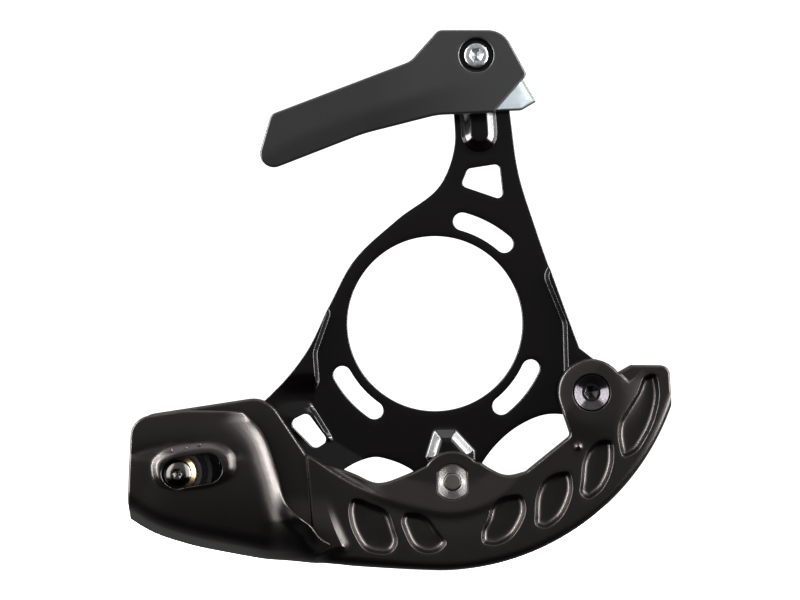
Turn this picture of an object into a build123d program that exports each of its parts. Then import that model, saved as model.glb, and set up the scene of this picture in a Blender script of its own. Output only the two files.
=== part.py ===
from build123d import *
import math
import os

# Chain guide for a mountain bicycle with a three-tab bottom bracket mount.
# X points forward along the bicycle, Z up and Y inboard, toward the bicycle's frame.
# The origin is the centre of the bottom bracket hole, on the backplate's mounting face.
# A level is a distance outboard of that face, so level 3 is the plane Y = -3. All sizes are millimetres.

# Chain and chainring that the guide is made for
chain_level = 16.0
chain_outer_radius = 85.3
chain_clearance = 1.6
chain_gap = 9.6
ring_range = 8.1

# Backplate
plate_thickness = 3.0
form_height = 3.0
flank_angle = 39.0
flank_wall = 2.2
bb_hole_radius = 30.25
mount_circle_radius = 36.55
mount_slot_width = 6.3
mount_slot_sweep = 26.0
mount_slot_middles = (62.0, -38.0, -138.0)
arm_half_width = 9.4
arm_overhang = 6.5
arm_hole_round = 1.7
lobe_hole_round = 2.2

# Upper guide
guide_bolt_x = 13.6
guide_bolt_height = 90.5
rail_lean = 4.0
rail_below_bolt = 31.4
guide_cheek = 3.5
guide_step = 0.8
guide_inner_step = 1.4
guide_edge_round = 0.6
bridge_length = 36.0
bridge_depth = 30.0
bridge_lead = 2.0
rail_shoe_width = 2.0
rail_shoe_length = 16.0
guide_head_recess = 5.0

# Fastener sizes: shank diameter, head diameter, head height and hexagon socket across flats
m5_diameter = 5.0
m5_low_head = (8.5, 3.5, 4.0)
m5_button_head = (9.5, 2.75, 3.0)
m5_square_nut = (8.0, 2.7)
m5_flange_nut = (8.0, 4.6, 11.4, 1.2)
m6_diameter = 6.0
m6_button_head = (10.5, 2.9, 4.0)
m6_countersunk_head = (12.1, 4.0)
m6_thin_nut = (10.0, 3.2)
washer_thickness = 1.0
washer_diameter = 11.0
washer_clearance = 0.3
nut_clearance = 0.1
hole_clearance = 0.2
thread_clearance = 0.05
cut_margin = 1.0
running_clearance = 0.06
socket_depth = 2.2
head_round = 1.9
low_head_round = 0.5

# Skid
skid_radius = 84.4
rim_centre_x = 1.2
rim_end_angle = -19.5
wall_sheet = 2.5
tab_height = 4.0
band_height = 6.0
lug_height = 7.0
lug_radius = 11.4
tab_radius = 10.5
skirt_depth = 4.5
hull_wall = 4.0
cheek_thickness = 3.5
cheek_clearance = 2.0
pocket_depth = 2.2
pocket_draft = 18.0
pocket_round = 2.4
middle_bolt_at = (5.9, -54.0)
front_bolt_at = (53.3, -23.4)
middle_nut_flats = 10.2
middle_nut_diameter = 12.4
middle_nut_height = 3.6
front_sleeve_diameter = 9.0
front_head_margin = 0.4
slope_start = 39.0
slope_end = 57.0

# Pulley
pulley_at = (-86.9, -50.2)
pulley_travel = 10.3
pulley_slot_lean = 10.1
lobe_radius = 8.5
pulley_width = 9.0
wheel_wall = 2.0
pulley_ridge_height = 2.3
pulley_ridge_width = 2.2
bearing_bore = 8.0
bearing_diameter = 19.0
bearing_width = 6.0
ball_diameter = 3.2
ball_bite = 0.9
ball_count = 9
shield_thickness = 0.3
cage_margin = 1.0
cage_wall = 0.9
wheel_step = 0.6
sleeve_fit = 0.01
sleeve_flange_diameter = 12.6
sleeve_flange_thickness = 1.3
spacer_margin = 0.1
access_slot_clearance = 0.3

# Bearing races, which leave the balls their bite, and the spacer that bears on the inner race
ball_circle = (bearing_bore + bearing_diameter) / 4
inner_race_diameter = 2 * ball_circle - (ball_diameter - ball_bite)
outer_race_bore = 2 * ball_circle + (ball_diameter - ball_bite)
spacer_diameter = inner_race_diameter - 2 * spacer_margin

# Levels of the stack, from the mounting face outboard
seat_level = plate_thickness + form_height
recess_level = form_height
sheet_level = seat_level + wall_sheet
tab_level = seat_level + tab_height
band_level = seat_level + band_height
lug_level = seat_level + lug_height
cheek_level = chain_level + pulley_width / 2 + cheek_clearance
cheek_face = cheek_level + cheek_thickness
guide_inner_level = seat_level + running_clearance
guide_gap_level = chain_level - chain_gap / 2
guide_cheek_level = chain_level + chain_gap / 2
guide_face = guide_cheek_level + guide_cheek
pulley_level = chain_level - pulley_width / 2
bearing_level = chain_level - bearing_width / 2
skirt_level = seat_level - skirt_depth


def level(distance):
    """Plane that faces outboard, a distance from the mounting face."""
    return Plane.XZ.offset(distance)


def place(base, offset):
    """Point at an offset from a base point."""
    return (base[0] + offset[0], base[1] + offset[1])


def polar(radius, angle):
    """Point at a radius and an angle round the origin."""
    return (radius * math.cos(math.radians(angle)), radius * math.sin(math.radians(angle)))


def axial(at):
    """Plane through an axis that runs across the guide: local x is the radius, local y is inboard."""
    return Plane(origin=(at[0], 0, at[1]), x_dir=(1, 0, 0), z_dir=(0, 0, 1))


def turned(at, *profile):
    """Revolve a closed profile of (radius, level) points about the cross axis at a point."""
    with BuildSketch(axial(at)) as section:
        with BuildLine():
            Polyline(*[(radius, -height) for radius, height in profile], close=True)
        make_face()
    revolve(section.sketch, axis=Axis((at[0], 0, at[1]), (0, 1, 0)))


def ring(at, low, high, outer_radius, inner_radius):
    """Plain ring between two levels, or a disc where the inner radius is zero."""
    with BuildSketch(level(low)) as section:
        with Locations(at):
            Circle(outer_radius)
            if inner_radius > 0:
                Circle(inner_radius, mode=Mode.SUBTRACT)
    extrude(section.sketch, amount=high - low)


def hexagon_socket(at, face_level, depth, across_flats):
    """Cut a hexagon socket into a head, downward from its face."""
    with BuildSketch(level(face_level)) as section:
        with Locations(at):
            RegularPolygon(across_flats / 2, 6, major_radius=False)
    extrude(section.sketch, amount=-depth, mode=Mode.SUBTRACT)


# Points along the leaning rail of the upper guide, which is as wide as the nut that slides inside it
rail_width = m5_square_nut[0] + 2 * (nut_clearance + flank_wall)
rail_along = (-math.sin(math.radians(rail_lean)), math.cos(math.radians(rail_lean)))
rail_across = (rail_along[1], -rail_along[0])
guide_bolt_at = (guide_bolt_x, guide_bolt_height)


def on_rail(along, across):
    """Point at a distance along the rail from the guide bolt, and across it."""
    return (
        guide_bolt_at[0] + along * rail_along[0] + across * rail_across[0],
        guide_bolt_at[1] + along * rail_along[1] + across * rail_across[1],
    )


# Centre line of the pulley slot
slot_along = (math.cos(math.radians(pulley_slot_lean)), math.sin(math.radians(pulley_slot_lean)))
pulley_middle_at = place(pulley_at, (pulley_travel / 2 * slot_along[0], pulley_travel / 2 * slot_along[1]))

# Outline of the backplate: arm, ring and the three lobes that carry the skid and the pulley
with BuildSketch() as plate_shape:
    with BuildLine():
        arm_front = Spline(
            on_rail(arm_overhang, arm_half_width),
            (25.9, 72.7),
            (29.0, 51.3),
            (34.5, 33.7),
            (43.8, 7.5),
            (49.7, -8.4),
        )
        front_lobe_top = place(front_bolt_at, (2.6, 10.2))
        front_lobe_bottom = place(front_bolt_at, (-2.0, -10.2))
        Line(arm_front @ 1, front_lobe_top)
        ThreePointArc(front_lobe_top, place(front_bolt_at, (10.5, -0.5)), front_lobe_bottom)
        lower_front = Spline(front_lobe_bottom, (39.4, -31.2), (28.3, -35.6), (21.6, -41.2), (16.0, -48.6))
        tab_front = place(middle_bolt_at, (lobe_radius, -1.5))
        tab_rear = place(middle_bolt_at, (-lobe_radius, -1.5))
        Line(lower_front @ 1, tab_front)
        ThreePointArc(tab_front, place(middle_bolt_at, (0, -lobe_radius)), tab_rear)
        lower_rear = Spline((-7.9, -50.5), (-15.5, -47.0), (-20.7, -46.0), (-25.0, -47.0), (-33.0, -51.5))
        Line(tab_rear, lower_rear @ 0)
        rear_lobe_bottom = place(pulley_at, (0, -lobe_radius))
        rear_lobe_top = place(pulley_at, (-4.0, 7.5))
        Line(lower_rear @ 1, rear_lobe_bottom)
        ThreePointArc(rear_lobe_bottom, place(pulley_at, (-lobe_radius, 0)), rear_lobe_top)
        arm_rear = Spline(
            (-59.0, -26.7),
            (-44.5, -10.1),
            (-35.8, 7.5),
            (-28.6, 20.9),
            (-13.1, 35.8),
            (2.1, 48.2),
            (6.9, 62.0),
            (6.6, 72.3),
            on_rail(arm_overhang, -arm_half_width),
        )
        Line(rear_lobe_top, arm_rear @ 0)
        Line(arm_rear @ 1, arm_front @ 0)
    make_face()

# Seats that are formed outboard: the rail, the two joggled lobes and the middle bump.
# Each shape runs past the plate's outline wherever the outline itself ends the seat.
with BuildSketch() as rail_shape:
    rail_top = on_rail(arm_overhang + rail_width, 0)
    rail_bottom = on_rail(rail_width / 2 - rail_below_bolt, 0)
    rail_middle = ((rail_top[0] + rail_bottom[0]) / 2, (rail_top[1] + rail_bottom[1]) / 2)
    with Locations(rail_middle):
        SlotCenterToCenter(math.dist(rail_top, rail_bottom), rail_width, rotation=90 + rail_lean)

with BuildSketch() as front_lobe_shape:
    with BuildLine():
        Polyline(
            (70.0, 40.0),
            (42.5, 24.5),
            (36.9, 17.0),
            (43.9, 0.0),
            (44.3, -14.0),
            (33.5, -31.5),
            (33.5, -60.0),
            (80.0, -60.0),
            close=True,
        )
    make_face()

with BuildSketch() as rear_lobe_shape:
    with BuildLine():
        Polyline(
            (-42.0, 12.0),
            (-35.5, 4.0),
            (-40.4, -10.0),
            (-38.6, -22.0),
            (-30.0, -38.0),
            (-23.0, -47.0),
            (-23.0, -75.0),
            (-120.0, -75.0),
            (-120.0, 12.0),
            close=True,
        )
    make_face()

with BuildSketch() as middle_bump_shape:
    with BuildLine():
        FilletPolyline(
            place(middle_bolt_at, (-16.0, -2.0)),
            place(middle_bolt_at, (-6.6, 18.3)),
            place(middle_bolt_at, (1.3, 18.3)),
            place(middle_bolt_at, (16.0, 2.0)),
            place(middle_bolt_at, (16.0, -14.0)),
            radius=[2.5, 2.5, 2.0],
        )
        Polyline(
            place(middle_bolt_at, (16.0, -14.0)),
            place(middle_bolt_at, (-16.0, -14.0)),
            place(middle_bolt_at, (-16.0, -2.0)),
        )
    make_face()

seat_shapes = (rail_shape, front_lobe_shape, rear_lobe_shape, middle_bump_shape)

with BuildPart() as formed_seats:
    for seat_shape in seat_shapes:
        with BuildSketch(level(plate_thickness)):
            add(seat_shape.sketch)
        extrude(amount=form_height, taper=flank_angle)
    with BuildSketch(level(0)):
        add(plate_shape.sketch)
    extrude(amount=seat_level, mode=Mode.INTERSECT)

# Backplate: one pressed aluminium plate with its holes and slots
with BuildPart() as backplate:
    with BuildSketch(level(0)):
        add(plate_shape.sketch)
    extrude(amount=plate_thickness)
    add(formed_seats.part)
    for seat_shape in seat_shapes:
        with BuildSketch(level(0)):
            add(seat_shape.sketch)
            offset(amount=-flank_wall, mode=Mode.REPLACE)
        extrude(amount=form_height, mode=Mode.SUBTRACT)
    with BuildSketch(level(0)):
        Circle(bb_hole_radius)
        for middle_angle in mount_slot_middles:
            first_angle = middle_angle - mount_slot_sweep / 2
            last_angle = middle_angle + mount_slot_sweep / 2
            first_tip = polar(mount_slot_width / 2, first_angle - 90)
            last_tip = polar(mount_slot_width / 2, last_angle + 90)
            with BuildLine():
                outer_side = CenterArc(
                    (0, 0), mount_circle_radius + mount_slot_width / 2, first_angle, mount_slot_sweep
                )
                inner_side = CenterArc(
                    (0, 0), mount_circle_radius - mount_slot_width / 2, first_angle, mount_slot_sweep
                )
                ThreePointArc(
                    outer_side @ 0, place(polar(mount_circle_radius, first_angle), first_tip), inner_side @ 0
                )
                ThreePointArc(
                    outer_side @ 1, place(polar(mount_circle_radius, last_angle), last_tip), inner_side @ 1
                )
            make_face()
        with BuildLine():
            FilletPolyline(
                (11.4, 53.6), (22.3, 55.3), (23.7, 42.6), (9.0, 47.6), radius=arm_hole_round, close=True
            )
        make_face()
        with BuildLine():
            FilletPolyline(
                (-50.6, -33.8),
                (-43.9, -30.4),
                (-36.6, -40.4),
                (-41.4, -43.4),
                radius=lobe_hole_round,
                close=True,
            )
        make_face()
        with Locations(on_rail(-ring_range / 2, 0)):
            SlotCenterToCenter(ring_range, m5_diameter + 2 * hole_clearance, rotation=90 + rail_lean)
        with Locations(pulley_middle_at):
            SlotCenterToCenter(pulley_travel, m5_diameter + 2 * hole_clearance, rotation=pulley_slot_lean)
        with Locations(middle_bolt_at, front_bolt_at):
            Circle(m6_diameter / 2 + hole_clearance)
    extrude(amount=seat_level, mode=Mode.SUBTRACT)
backplate.part.label = "backplate"

# Outline of the upper guide's cheeks, as corners measured from the guide bolt
tail_corners = (
    (-13.0, -19.9),
    (-38.0, -26.1),
    (-75.2, -40.6),
    (-69.0, -19.9),
    (-22.2, -2.1),
    (-12.8, 8.4),
    (8.9, 8.4),
)
tail_rounds = [25.0, 60.0, 4.5, 3.0, 7.0, 3.0, 8.5]

with BuildSketch() as outer_cheek_shape:
    with BuildLine():
        outer_corners = [(5.9, -19.2), *tail_corners, (17.0, -6.6)]
        FilletPolyline(
            *[place(guide_bolt_at, corner) for corner in outer_corners],
            radius=[0.8, *tail_rounds, 1.5],
            close=True,
        )
    make_face()

with BuildSketch() as inner_cheek_shape:
    with BuildLine():
        inner_corners = [(16.4, -18.6), *tail_corners, (22.7, -14.9)]
        FilletPolyline(
            *[place(guide_bolt_at, corner) for corner in inner_corners],
            radius=[3.5, *tail_rounds, 1.5],
            close=True,
        )
    make_face()
    offset(amount=-guide_inner_step, mode=Mode.REPLACE)

# Bridge of the outer cheek: it spans the chain gap above the chain
with BuildSketch() as bridge_shape:
    add(outer_cheek_shape.sketch)
    offset(amount=-guide_step, mode=Mode.REPLACE)
    Circle(chain_outer_radius + chain_clearance, mode=Mode.SUBTRACT)
    with Locations(place(guide_bolt_at, (-bridge_lead, 0))):
        Rectangle(bridge_length, bridge_depth, mode=Mode.INTERSECT)

with BuildPart() as upper_guide_outer:
    with BuildSketch(level(guide_cheek_level)):
        add(outer_cheek_shape.sketch)
    extrude(amount=guide_cheek)
    fillet(upper_guide_outer.faces().sort_by(Axis.Y)[0].edges(), radius=guide_edge_round)
    with BuildSketch(level(guide_gap_level)):
        add(bridge_shape.sketch)
    extrude(amount=chain_gap)
    with BuildSketch(level(guide_face)):
        with Locations(guide_bolt_at):
            Circle(washer_diameter / 2 + washer_clearance)
    extrude(amount=-guide_head_recess, mode=Mode.SUBTRACT)
    with BuildSketch(level(guide_face)):
        with Locations(guide_bolt_at):
            Circle(m5_diameter / 2 + hole_clearance)
    extrude(amount=-guide_face, mode=Mode.SUBTRACT)
upper_guide_outer.part.label = "upper_guide_outer"

with BuildPart() as upper_guide_inner:
    with BuildSketch(level(guide_inner_level)):
        add(inner_cheek_shape.sketch)
    extrude(amount=guide_gap_level - guide_inner_level)
    fillet(upper_guide_inner.faces().sort_by(Axis.Y)[0].edges(), radius=guide_edge_round)
    with BuildSketch(level(guide_inner_level)):
        shoe_across = rail_width / 2 + rail_shoe_width / 2 + running_clearance
        shoe_middle = -rail_shoe_length / 2
        with Locations(on_rail(shoe_middle, shoe_across), on_rail(shoe_middle, -shoe_across)):
            Rectangle(rail_shoe_width, rail_shoe_length, rotation=rail_lean)
    extrude(amount=plate_thickness + running_clearance - guide_inner_level)
    with BuildSketch(level(0)):
        with Locations(guide_bolt_at):
            Circle(m5_diameter / 2 + hole_clearance)
    extrude(amount=guide_gap_level, mode=Mode.SUBTRACT)
upper_guide_inner.part.label = "upper_guide_inner"

guide_washer_level = guide_face - guide_head_recess
guide_head_level = guide_washer_level + washer_thickness
guide_nut_level = recess_level - running_clearance - m5_square_nut[1]

with BuildPart() as upper_guide_washer:
    ring(
        guide_bolt_at,
        guide_washer_level,
        guide_head_level,
        washer_diameter / 2,
        m5_diameter / 2 + hole_clearance,
    )
upper_guide_washer.part.label = "upper_guide_washer"

with BuildPart() as upper_guide_bolt:
    ring(guide_bolt_at, guide_nut_level, guide_head_level, m5_diameter / 2, 0)
    ring(guide_bolt_at, guide_head_level, guide_head_level + m5_low_head[1], m5_low_head[0] / 2, 0)
    fillet(upper_guide_bolt.faces().sort_by(Axis.Y)[0].edges(), radius=low_head_round)
    hexagon_socket(guide_bolt_at, guide_head_level + m5_low_head[1], socket_depth, m5_low_head[2])
upper_guide_bolt.part.label = "upper_guide_bolt"

with BuildPart() as upper_guide_nut:
    with BuildSketch(level(guide_nut_level)):
        with Locations(guide_bolt_at):
            Rectangle(m5_square_nut[0], m5_square_nut[0], rotation=rail_lean)
            Circle(m5_diameter / 2 + thread_clearance, mode=Mode.SUBTRACT)
    extrude(amount=m5_square_nut[1])
upper_guide_nut.part.label = "upper_guide_nut"

# Outline of the skid: crescent, middle tab, front lug and the block round the pulley
block_bottom = place(pulley_at, (-17.3, -16.3))
skid_kink = place(pulley_at, (42.6, 5.6))
hull_rise = block_bottom[1] + skid_radius
hull_run = rim_centre_x - block_bottom[0]
hull_radius = (hull_run**2 + hull_rise**2) / (2 * hull_rise)

with BuildSketch() as skid_shape:
    with BuildLine():
        rim = CenterArc((rim_centre_x, 0), skid_radius, rim_end_angle, -90 - rim_end_angle)
        hull_line = TangentArc(rim @ 1, block_bottom, tangent=(-1, 0))
        FilletPolyline(
            block_bottom,
            place(pulley_at, (-15.4, 18.6)),
            place(pulley_at, (29.3, 25.4)),
            skid_kink,
            radius=[7.0, 10.0],
        )
        inner_edge = Spline(skid_kink, (-36.0, -48.2), (-27.5, -51.6), (-20.2, -54.6))
        FilletPolyline(
            inner_edge @ 1,
            (-4.5, -49.8),
            (15.5, -47.9),
            (24.0, -52.2),
            (31.0, -50.6),
            (46.7, -38.2),
            place(front_bolt_at, (9.5, 6.6)),
            (67.0, -14.1),
            (79.9, -14.2),
            rim @ 0,
            radius=[6.0, 6.0, 6.0, 2.0, 2.0, 1.5, 1.5, 3.0],
        )
    make_face()
    with Locations(middle_bolt_at):
        Circle(tab_radius)
    with Locations(front_bolt_at):
        Circle(lug_radius)
    with BuildLine():
        Polyline(
            place(front_bolt_at, (-10.9, -3.3)),
            place(front_bolt_at, (-7.0, -14.8)),
            place(front_bolt_at, (8.0, -8.0)),
            close=True,
        )
    make_face()

# Raised band of the crescent: all of the outline in front of the ramp, less the lens round the middle nut
with BuildSketch() as band_shape:
    add(skid_shape.sketch)
    with BuildLine():
        lens_edge = Spline(
            (-33.0, -54.0), (-20.2, -58.7), (-6.9, -62.5), (5.9, -65.0), (17.0, -62.0), (31.0, -50.8)
        )
        Polyline(lens_edge @ 1, (31.0, -30.0), (-33.0, -30.0), lens_edge @ 0)
    make_face(mode=Mode.SUBTRACT)
    with BuildLine():
        Polyline(
            (-33.0, -20.0),
            (-33.0, -54.0),
            (-35.2, -63.0),
            (-31.8, -74.0),
            (-31.8, -120.0),
            (-140.0, -120.0),
            (-140.0, -20.0),
            close=True,
        )
    make_face(mode=Mode.SUBTRACT)

# Ramp and tab: the part of the outline in front of the pulley block
with BuildSketch() as tab_shape:
    add(skid_shape.sketch)
    with BuildLine():
        Polyline(
            place(skid_kink, (0, 30.0)),
            skid_kink,
            place(skid_kink, (2.0, -24.5)),
            place(skid_kink, (2.0, -80.0)),
            place(skid_kink, (-100.0, -80.0)),
            place(skid_kink, (-100.0, 30.0)),
            close=True,
        )
    make_face(mode=Mode.SUBTRACT)

# Raised face of the front lug
with BuildSketch() as lug_shape:
    with Locations(front_bolt_at):
        Circle(lug_radius)
    with BuildLine():
        Polyline(
            place(front_bolt_at, (-10.9, -3.3)),
            place(front_bolt_at, (-6.4, -14.0)),
            place(front_bolt_at, (7.0, -9.0)),
            place(front_bolt_at, (9.0, 6.6)),
            close=True,
        )
    make_face()

# Strip along the crescent's rim and along the lower edge of the pulley block
with BuildSketch() as rim_strip:
    with Locations((rim_centre_x, 0)):
        Circle(skid_radius)
        Circle(skid_radius - hull_wall, mode=Mode.SUBTRACT)
    with Locations((rim_centre_x + skid_radius, -skid_radius)):
        Rectangle(2 * skid_radius, 2 * skid_radius, mode=Mode.INTERSECT)
    add(skid_shape.sketch, mode=Mode.INTERSECT)

with BuildSketch() as hull_strip:
    with Locations((rim_centre_x, hull_radius - skid_radius)):
        Circle(hull_radius)
        Circle(hull_radius - hull_wall, mode=Mode.SUBTRACT)
    with Locations((rim_centre_x - hull_run / 2, -skid_radius)):
        Rectangle(hull_run, skid_radius, mode=Mode.INTERSECT)
    add(skid_shape.sketch, mode=Mode.INTERSECT)

# Cheek: the outboard wall of the pulley block, with its free edge in front and its foot in the hull wall
with BuildSketch() as cheek_shape:
    add(skid_shape.sketch)
    with BuildLine():
        free_edge = Spline(
            place(pulley_at, (22.0, 20.6)),
            place(pulley_at, (28.0, 14.0)),
            place(pulley_at, (33.4, 0.0)),
            place(pulley_at, (37.0, -11.0)),
            place(pulley_at, (42.0, -18.5)),
        )
        Polyline(
            free_edge @ 1,
            place(pulley_at, (42.0, -60.0)),
            place(pulley_at, (-40.0, -60.0)),
            place(pulley_at, (-40.0, 21.2)),
            place(pulley_at, (4.9, 21.2)),
            free_edge @ 0,
        )
    make_face(mode=Mode.INTERSECT)
    with Locations((rim_centre_x, hull_radius - skid_radius)):
        Circle(hull_radius - hull_wall / 2, mode=Mode.INTERSECT)

# Hull wall: it stands as far out as the cheek, then slopes down to the band in front of the cheek
slope_start_x = pulley_at[0] + slope_start
slope_end_x = pulley_at[0] + slope_end
with BuildPart() as hull_block:
    with BuildSketch(level(skirt_level)):
        add(hull_strip.sketch)
    extrude(amount=cheek_face - skirt_level)
    with BuildSketch(Plane.XY.offset(-2 * skid_radius)):
        with BuildLine():
            Polyline(
                (slope_start_x, -cheek_face),
                (slope_end_x, -band_level),
                (skid_radius, -band_level),
                (skid_radius, -2 * cheek_face),
                (slope_start_x, -2 * cheek_face),
                close=True,
            )
        make_face()
    extrude(amount=2 * skid_radius, mode=Mode.SUBTRACT)
    with BuildSketch(level(cheek_level)):
        add(cheek_shape.sketch)
    extrude(amount=cheek_thickness)

# Pockets of the crescent, as corners of (angle, distance inside the rim), both about the rim's centre
pockets = (
    ((-116.2, 19.2), (-110.3, 6.0), (-105.5, 4.4), (-99.4, 5.5), (-103.9, 20.2)),
    ((-100.6, 20.2), (-96.8, 9.5), (-92.0, 6.6), (-86.7, 7.2), (-92.4, 20.6)),
    ((-71.5, 22.4), (-78.4, 8.0), (-71.3, 6.6), (-64.4, 12.0), (-62.0, 20.6)),
    ((-54.5, 21.0), (-64.2, 7.3), (-58.5, 6.2), (-50.8, 10.8), (-47.2, 18.0)),
    ((-38.5, 17.6), (-45.0, 15.2), (-50.2, 7.0), (-45.5, 5.4), (-36.5, 8.4), (-32.7, 14.4)),
    ((-14.0, 12.6), (-29.0, 14.6), (-36.0, 5.9), (-29.0, 4.6), (-18.0, 4.8), (-11.9, 8.0)),
)

front_head_level = lug_level - hole_clearance
countersink_foot = front_head_level - (m6_countersunk_head[0] - m6_diameter) / 2
sleeve_top = front_head_level - (m6_countersunk_head[0] - front_sleeve_diameter) / 2
middle_nut_level = tab_level - middle_nut_height

# Space for the countersunk head in the lug's face
with BuildPart() as front_head_space:
    turned(
        front_bolt_at,
        (0, countersink_foot),
        (m6_diameter / 2 + thread_clearance, countersink_foot),
        (m6_countersunk_head[0] / 2 + thread_clearance, front_head_level),
        (m6_countersunk_head[0] / 2 + front_head_margin, front_head_level),
        (m6_countersunk_head[0] / 2 + front_head_margin, lug_level),
        (0, lug_level),
    )

# Skid: one moulded piece of filled nylon
with BuildPart() as skid:
    with BuildSketch(level(seat_level)):
        add(skid_shape.sketch)
    extrude(amount=wall_sheet)
    with BuildSketch(level(seat_level)):
        add(tab_shape.sketch)
    extrude(amount=tab_height)
    with BuildSketch(level(seat_level)):
        add(band_shape.sketch)
    extrude(amount=band_height)
    with BuildSketch(level(seat_level)):
        add(lug_shape.sketch)
    extrude(amount=lug_height)
    with BuildSketch(level(skirt_level)):
        add(rim_strip.sketch)
    extrude(amount=skirt_depth)
    add(hull_block.part)
    for pocket in pockets:
        with BuildSketch(level(band_level)):
            with BuildLine():
                FilletPolyline(
                    *[place((rim_centre_x, 0), polar(skid_radius - inset, angle)) for angle, inset in pocket],
                    radius=pocket_round,
                    close=True,
                )
            make_face()
        extrude(amount=-pocket_depth, taper=pocket_draft, mode=Mode.SUBTRACT)
    with BuildSketch(level(cheek_level - cut_margin)):
        with Locations(pulley_middle_at):
            SlotCenterToCenter(
                pulley_travel, m5_button_head[0] + 2 * access_slot_clearance, rotation=pulley_slot_lean
            )
    extrude(amount=cheek_thickness + 2 * cut_margin, mode=Mode.SUBTRACT)
    with BuildSketch(level(seat_level - cut_margin)):
        with Locations(pulley_middle_at):
            SlotCenterToCenter(
                pulley_travel, spacer_diameter + 2 * access_slot_clearance, rotation=pulley_slot_lean
            )
    extrude(amount=wall_sheet + 2 * cut_margin, mode=Mode.SUBTRACT)
    with BuildSketch(level(middle_nut_level)):
        with Locations(middle_bolt_at):
            Circle(middle_nut_diameter / 2 + thread_clearance)
            Rectangle(middle_nut_flats + 2 * thread_clearance, 2 * middle_nut_diameter, mode=Mode.INTERSECT)
    extrude(amount=middle_nut_height + cut_margin, mode=Mode.SUBTRACT)
    with BuildSketch(level(seat_level - cut_margin)):
        with Locations(middle_bolt_at):
            Circle(m6_diameter / 2 + hole_clearance)
        with Locations(front_bolt_at):
            Circle(front_sleeve_diameter / 2 + thread_clearance)
    extrude(amount=lug_height + 2 * cut_margin, mode=Mode.SUBTRACT)
    add(front_head_space.part, mode=Mode.SUBTRACT)
skid.part.label = "skid"

# Front skid screw, its sleeve through the lug and the thin nut behind the backplate
front_nut_level = recess_level - m6_thin_nut[1]

with BuildPart() as front_bolt:
    turned(
        front_bolt_at,
        (0, front_nut_level),
        (m6_diameter / 2, front_nut_level),
        (m6_diameter / 2, countersink_foot),
        (m6_countersunk_head[0] / 2, front_head_level),
        (0, front_head_level),
    )
    hexagon_socket(front_bolt_at, front_head_level, socket_depth, m6_countersunk_head[1])
front_bolt.part.label = "front_bolt"

with BuildPart() as front_sleeve:
    turned(
        front_bolt_at,
        (m6_diameter / 2 + hole_clearance, seat_level),
        (front_sleeve_diameter / 2, seat_level),
        (front_sleeve_diameter / 2, sleeve_top - thread_clearance),
        (m6_diameter / 2 + hole_clearance, countersink_foot + hole_clearance - thread_clearance),
    )
front_sleeve.part.label = "front_sleeve"

with BuildPart() as front_nut:
    with BuildSketch(level(front_nut_level)):
        with Locations(front_bolt_at):
            RegularPolygon(m6_thin_nut[0] / 2, 6, major_radius=False)
            Circle(m6_diameter / 2 + thread_clearance, mode=Mode.SUBTRACT)
    extrude(amount=m6_thin_nut[1])
front_nut.part.label = "front_nut"

# Middle skid screw, driven from behind, and the flat-sided nut that is let into the skid's tab
with BuildPart() as middle_bolt:
    ring(middle_bolt_at, recess_level, tab_level - hole_clearance, m6_diameter / 2, 0)
    ring(middle_bolt_at, recess_level - m6_button_head[1], recess_level, m6_button_head[0] / 2, 0)
    fillet(middle_bolt.faces().sort_by(Axis.Y)[-1].edges(), radius=head_round)
    with BuildSketch(level(recess_level - m6_button_head[1])):
        with Locations(middle_bolt_at):
            RegularPolygon(m6_button_head[2] / 2, 6, major_radius=False)
    extrude(amount=socket_depth, mode=Mode.SUBTRACT)
middle_bolt.part.label = "middle_bolt"

with BuildPart() as middle_nut:
    with BuildSketch(level(middle_nut_level)):
        with Locations(middle_bolt_at):
            Circle(middle_nut_diameter / 2)
            Rectangle(middle_nut_flats, 2 * middle_nut_diameter, mode=Mode.INTERSECT)
            Circle(m6_diameter / 2 + thread_clearance, mode=Mode.SUBTRACT)
    extrude(amount=middle_nut_height)
middle_nut.part.label = "middle_nut"

# Pulley: wheel, cartridge bearing and the stack of sleeve, spacer, screw and nut that carries it
bearing_face = bearing_level + bearing_width
sleeve_flange_level = cheek_level - sleeve_flange_thickness - hole_clearance
pulley_head_level = sleeve_flange_level + sleeve_flange_thickness
pulley_nut_level = recess_level - running_clearance - m5_flange_nut[1]
pulley_shoulder_radius = bearing_diameter / 2 + wheel_wall
pulley_ridge_radius = pulley_shoulder_radius + pulley_ridge_height
cage_width = ball_diameter + cage_margin
race_groove = ball_diameter / 2 + thread_clearance

with BuildPart() as pulley_wheel:
    turned(
        pulley_at,
        (bearing_diameter / 2, bearing_level),
        (bearing_diameter / 2 + wheel_step, bearing_level - wheel_step),
        (bearing_diameter / 2 + wheel_step, pulley_level),
        (pulley_shoulder_radius, pulley_level),
        (pulley_shoulder_radius, chain_level - pulley_ridge_width),
        (pulley_ridge_radius, chain_level - pulley_ridge_width / 2),
        (pulley_ridge_radius, chain_level + pulley_ridge_width / 2),
        (pulley_shoulder_radius, chain_level + pulley_ridge_width),
        (pulley_shoulder_radius, pulley_level + pulley_width),
        (bearing_diameter / 2 + wheel_step, pulley_level + pulley_width),
        (bearing_diameter / 2 + wheel_step, bearing_face + wheel_step),
        (bearing_diameter / 2, bearing_face),
    )
pulley_wheel.part.label = "pulley_wheel"

with BuildPart() as ball_groove:
    with BuildSketch(axial(pulley_at)):
        with Locations((ball_circle, -chain_level)):
            Circle(race_groove)
    revolve(axis=Axis((pulley_at[0], 0, pulley_at[1]), (0, 1, 0)))

with BuildPart() as bearing_outer_race:
    ring(pulley_at, bearing_level, bearing_face, bearing_diameter / 2, outer_race_bore / 2)
    add(ball_groove.part, mode=Mode.SUBTRACT)
bearing_outer_race.part.label = "bearing_outer_race"

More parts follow.
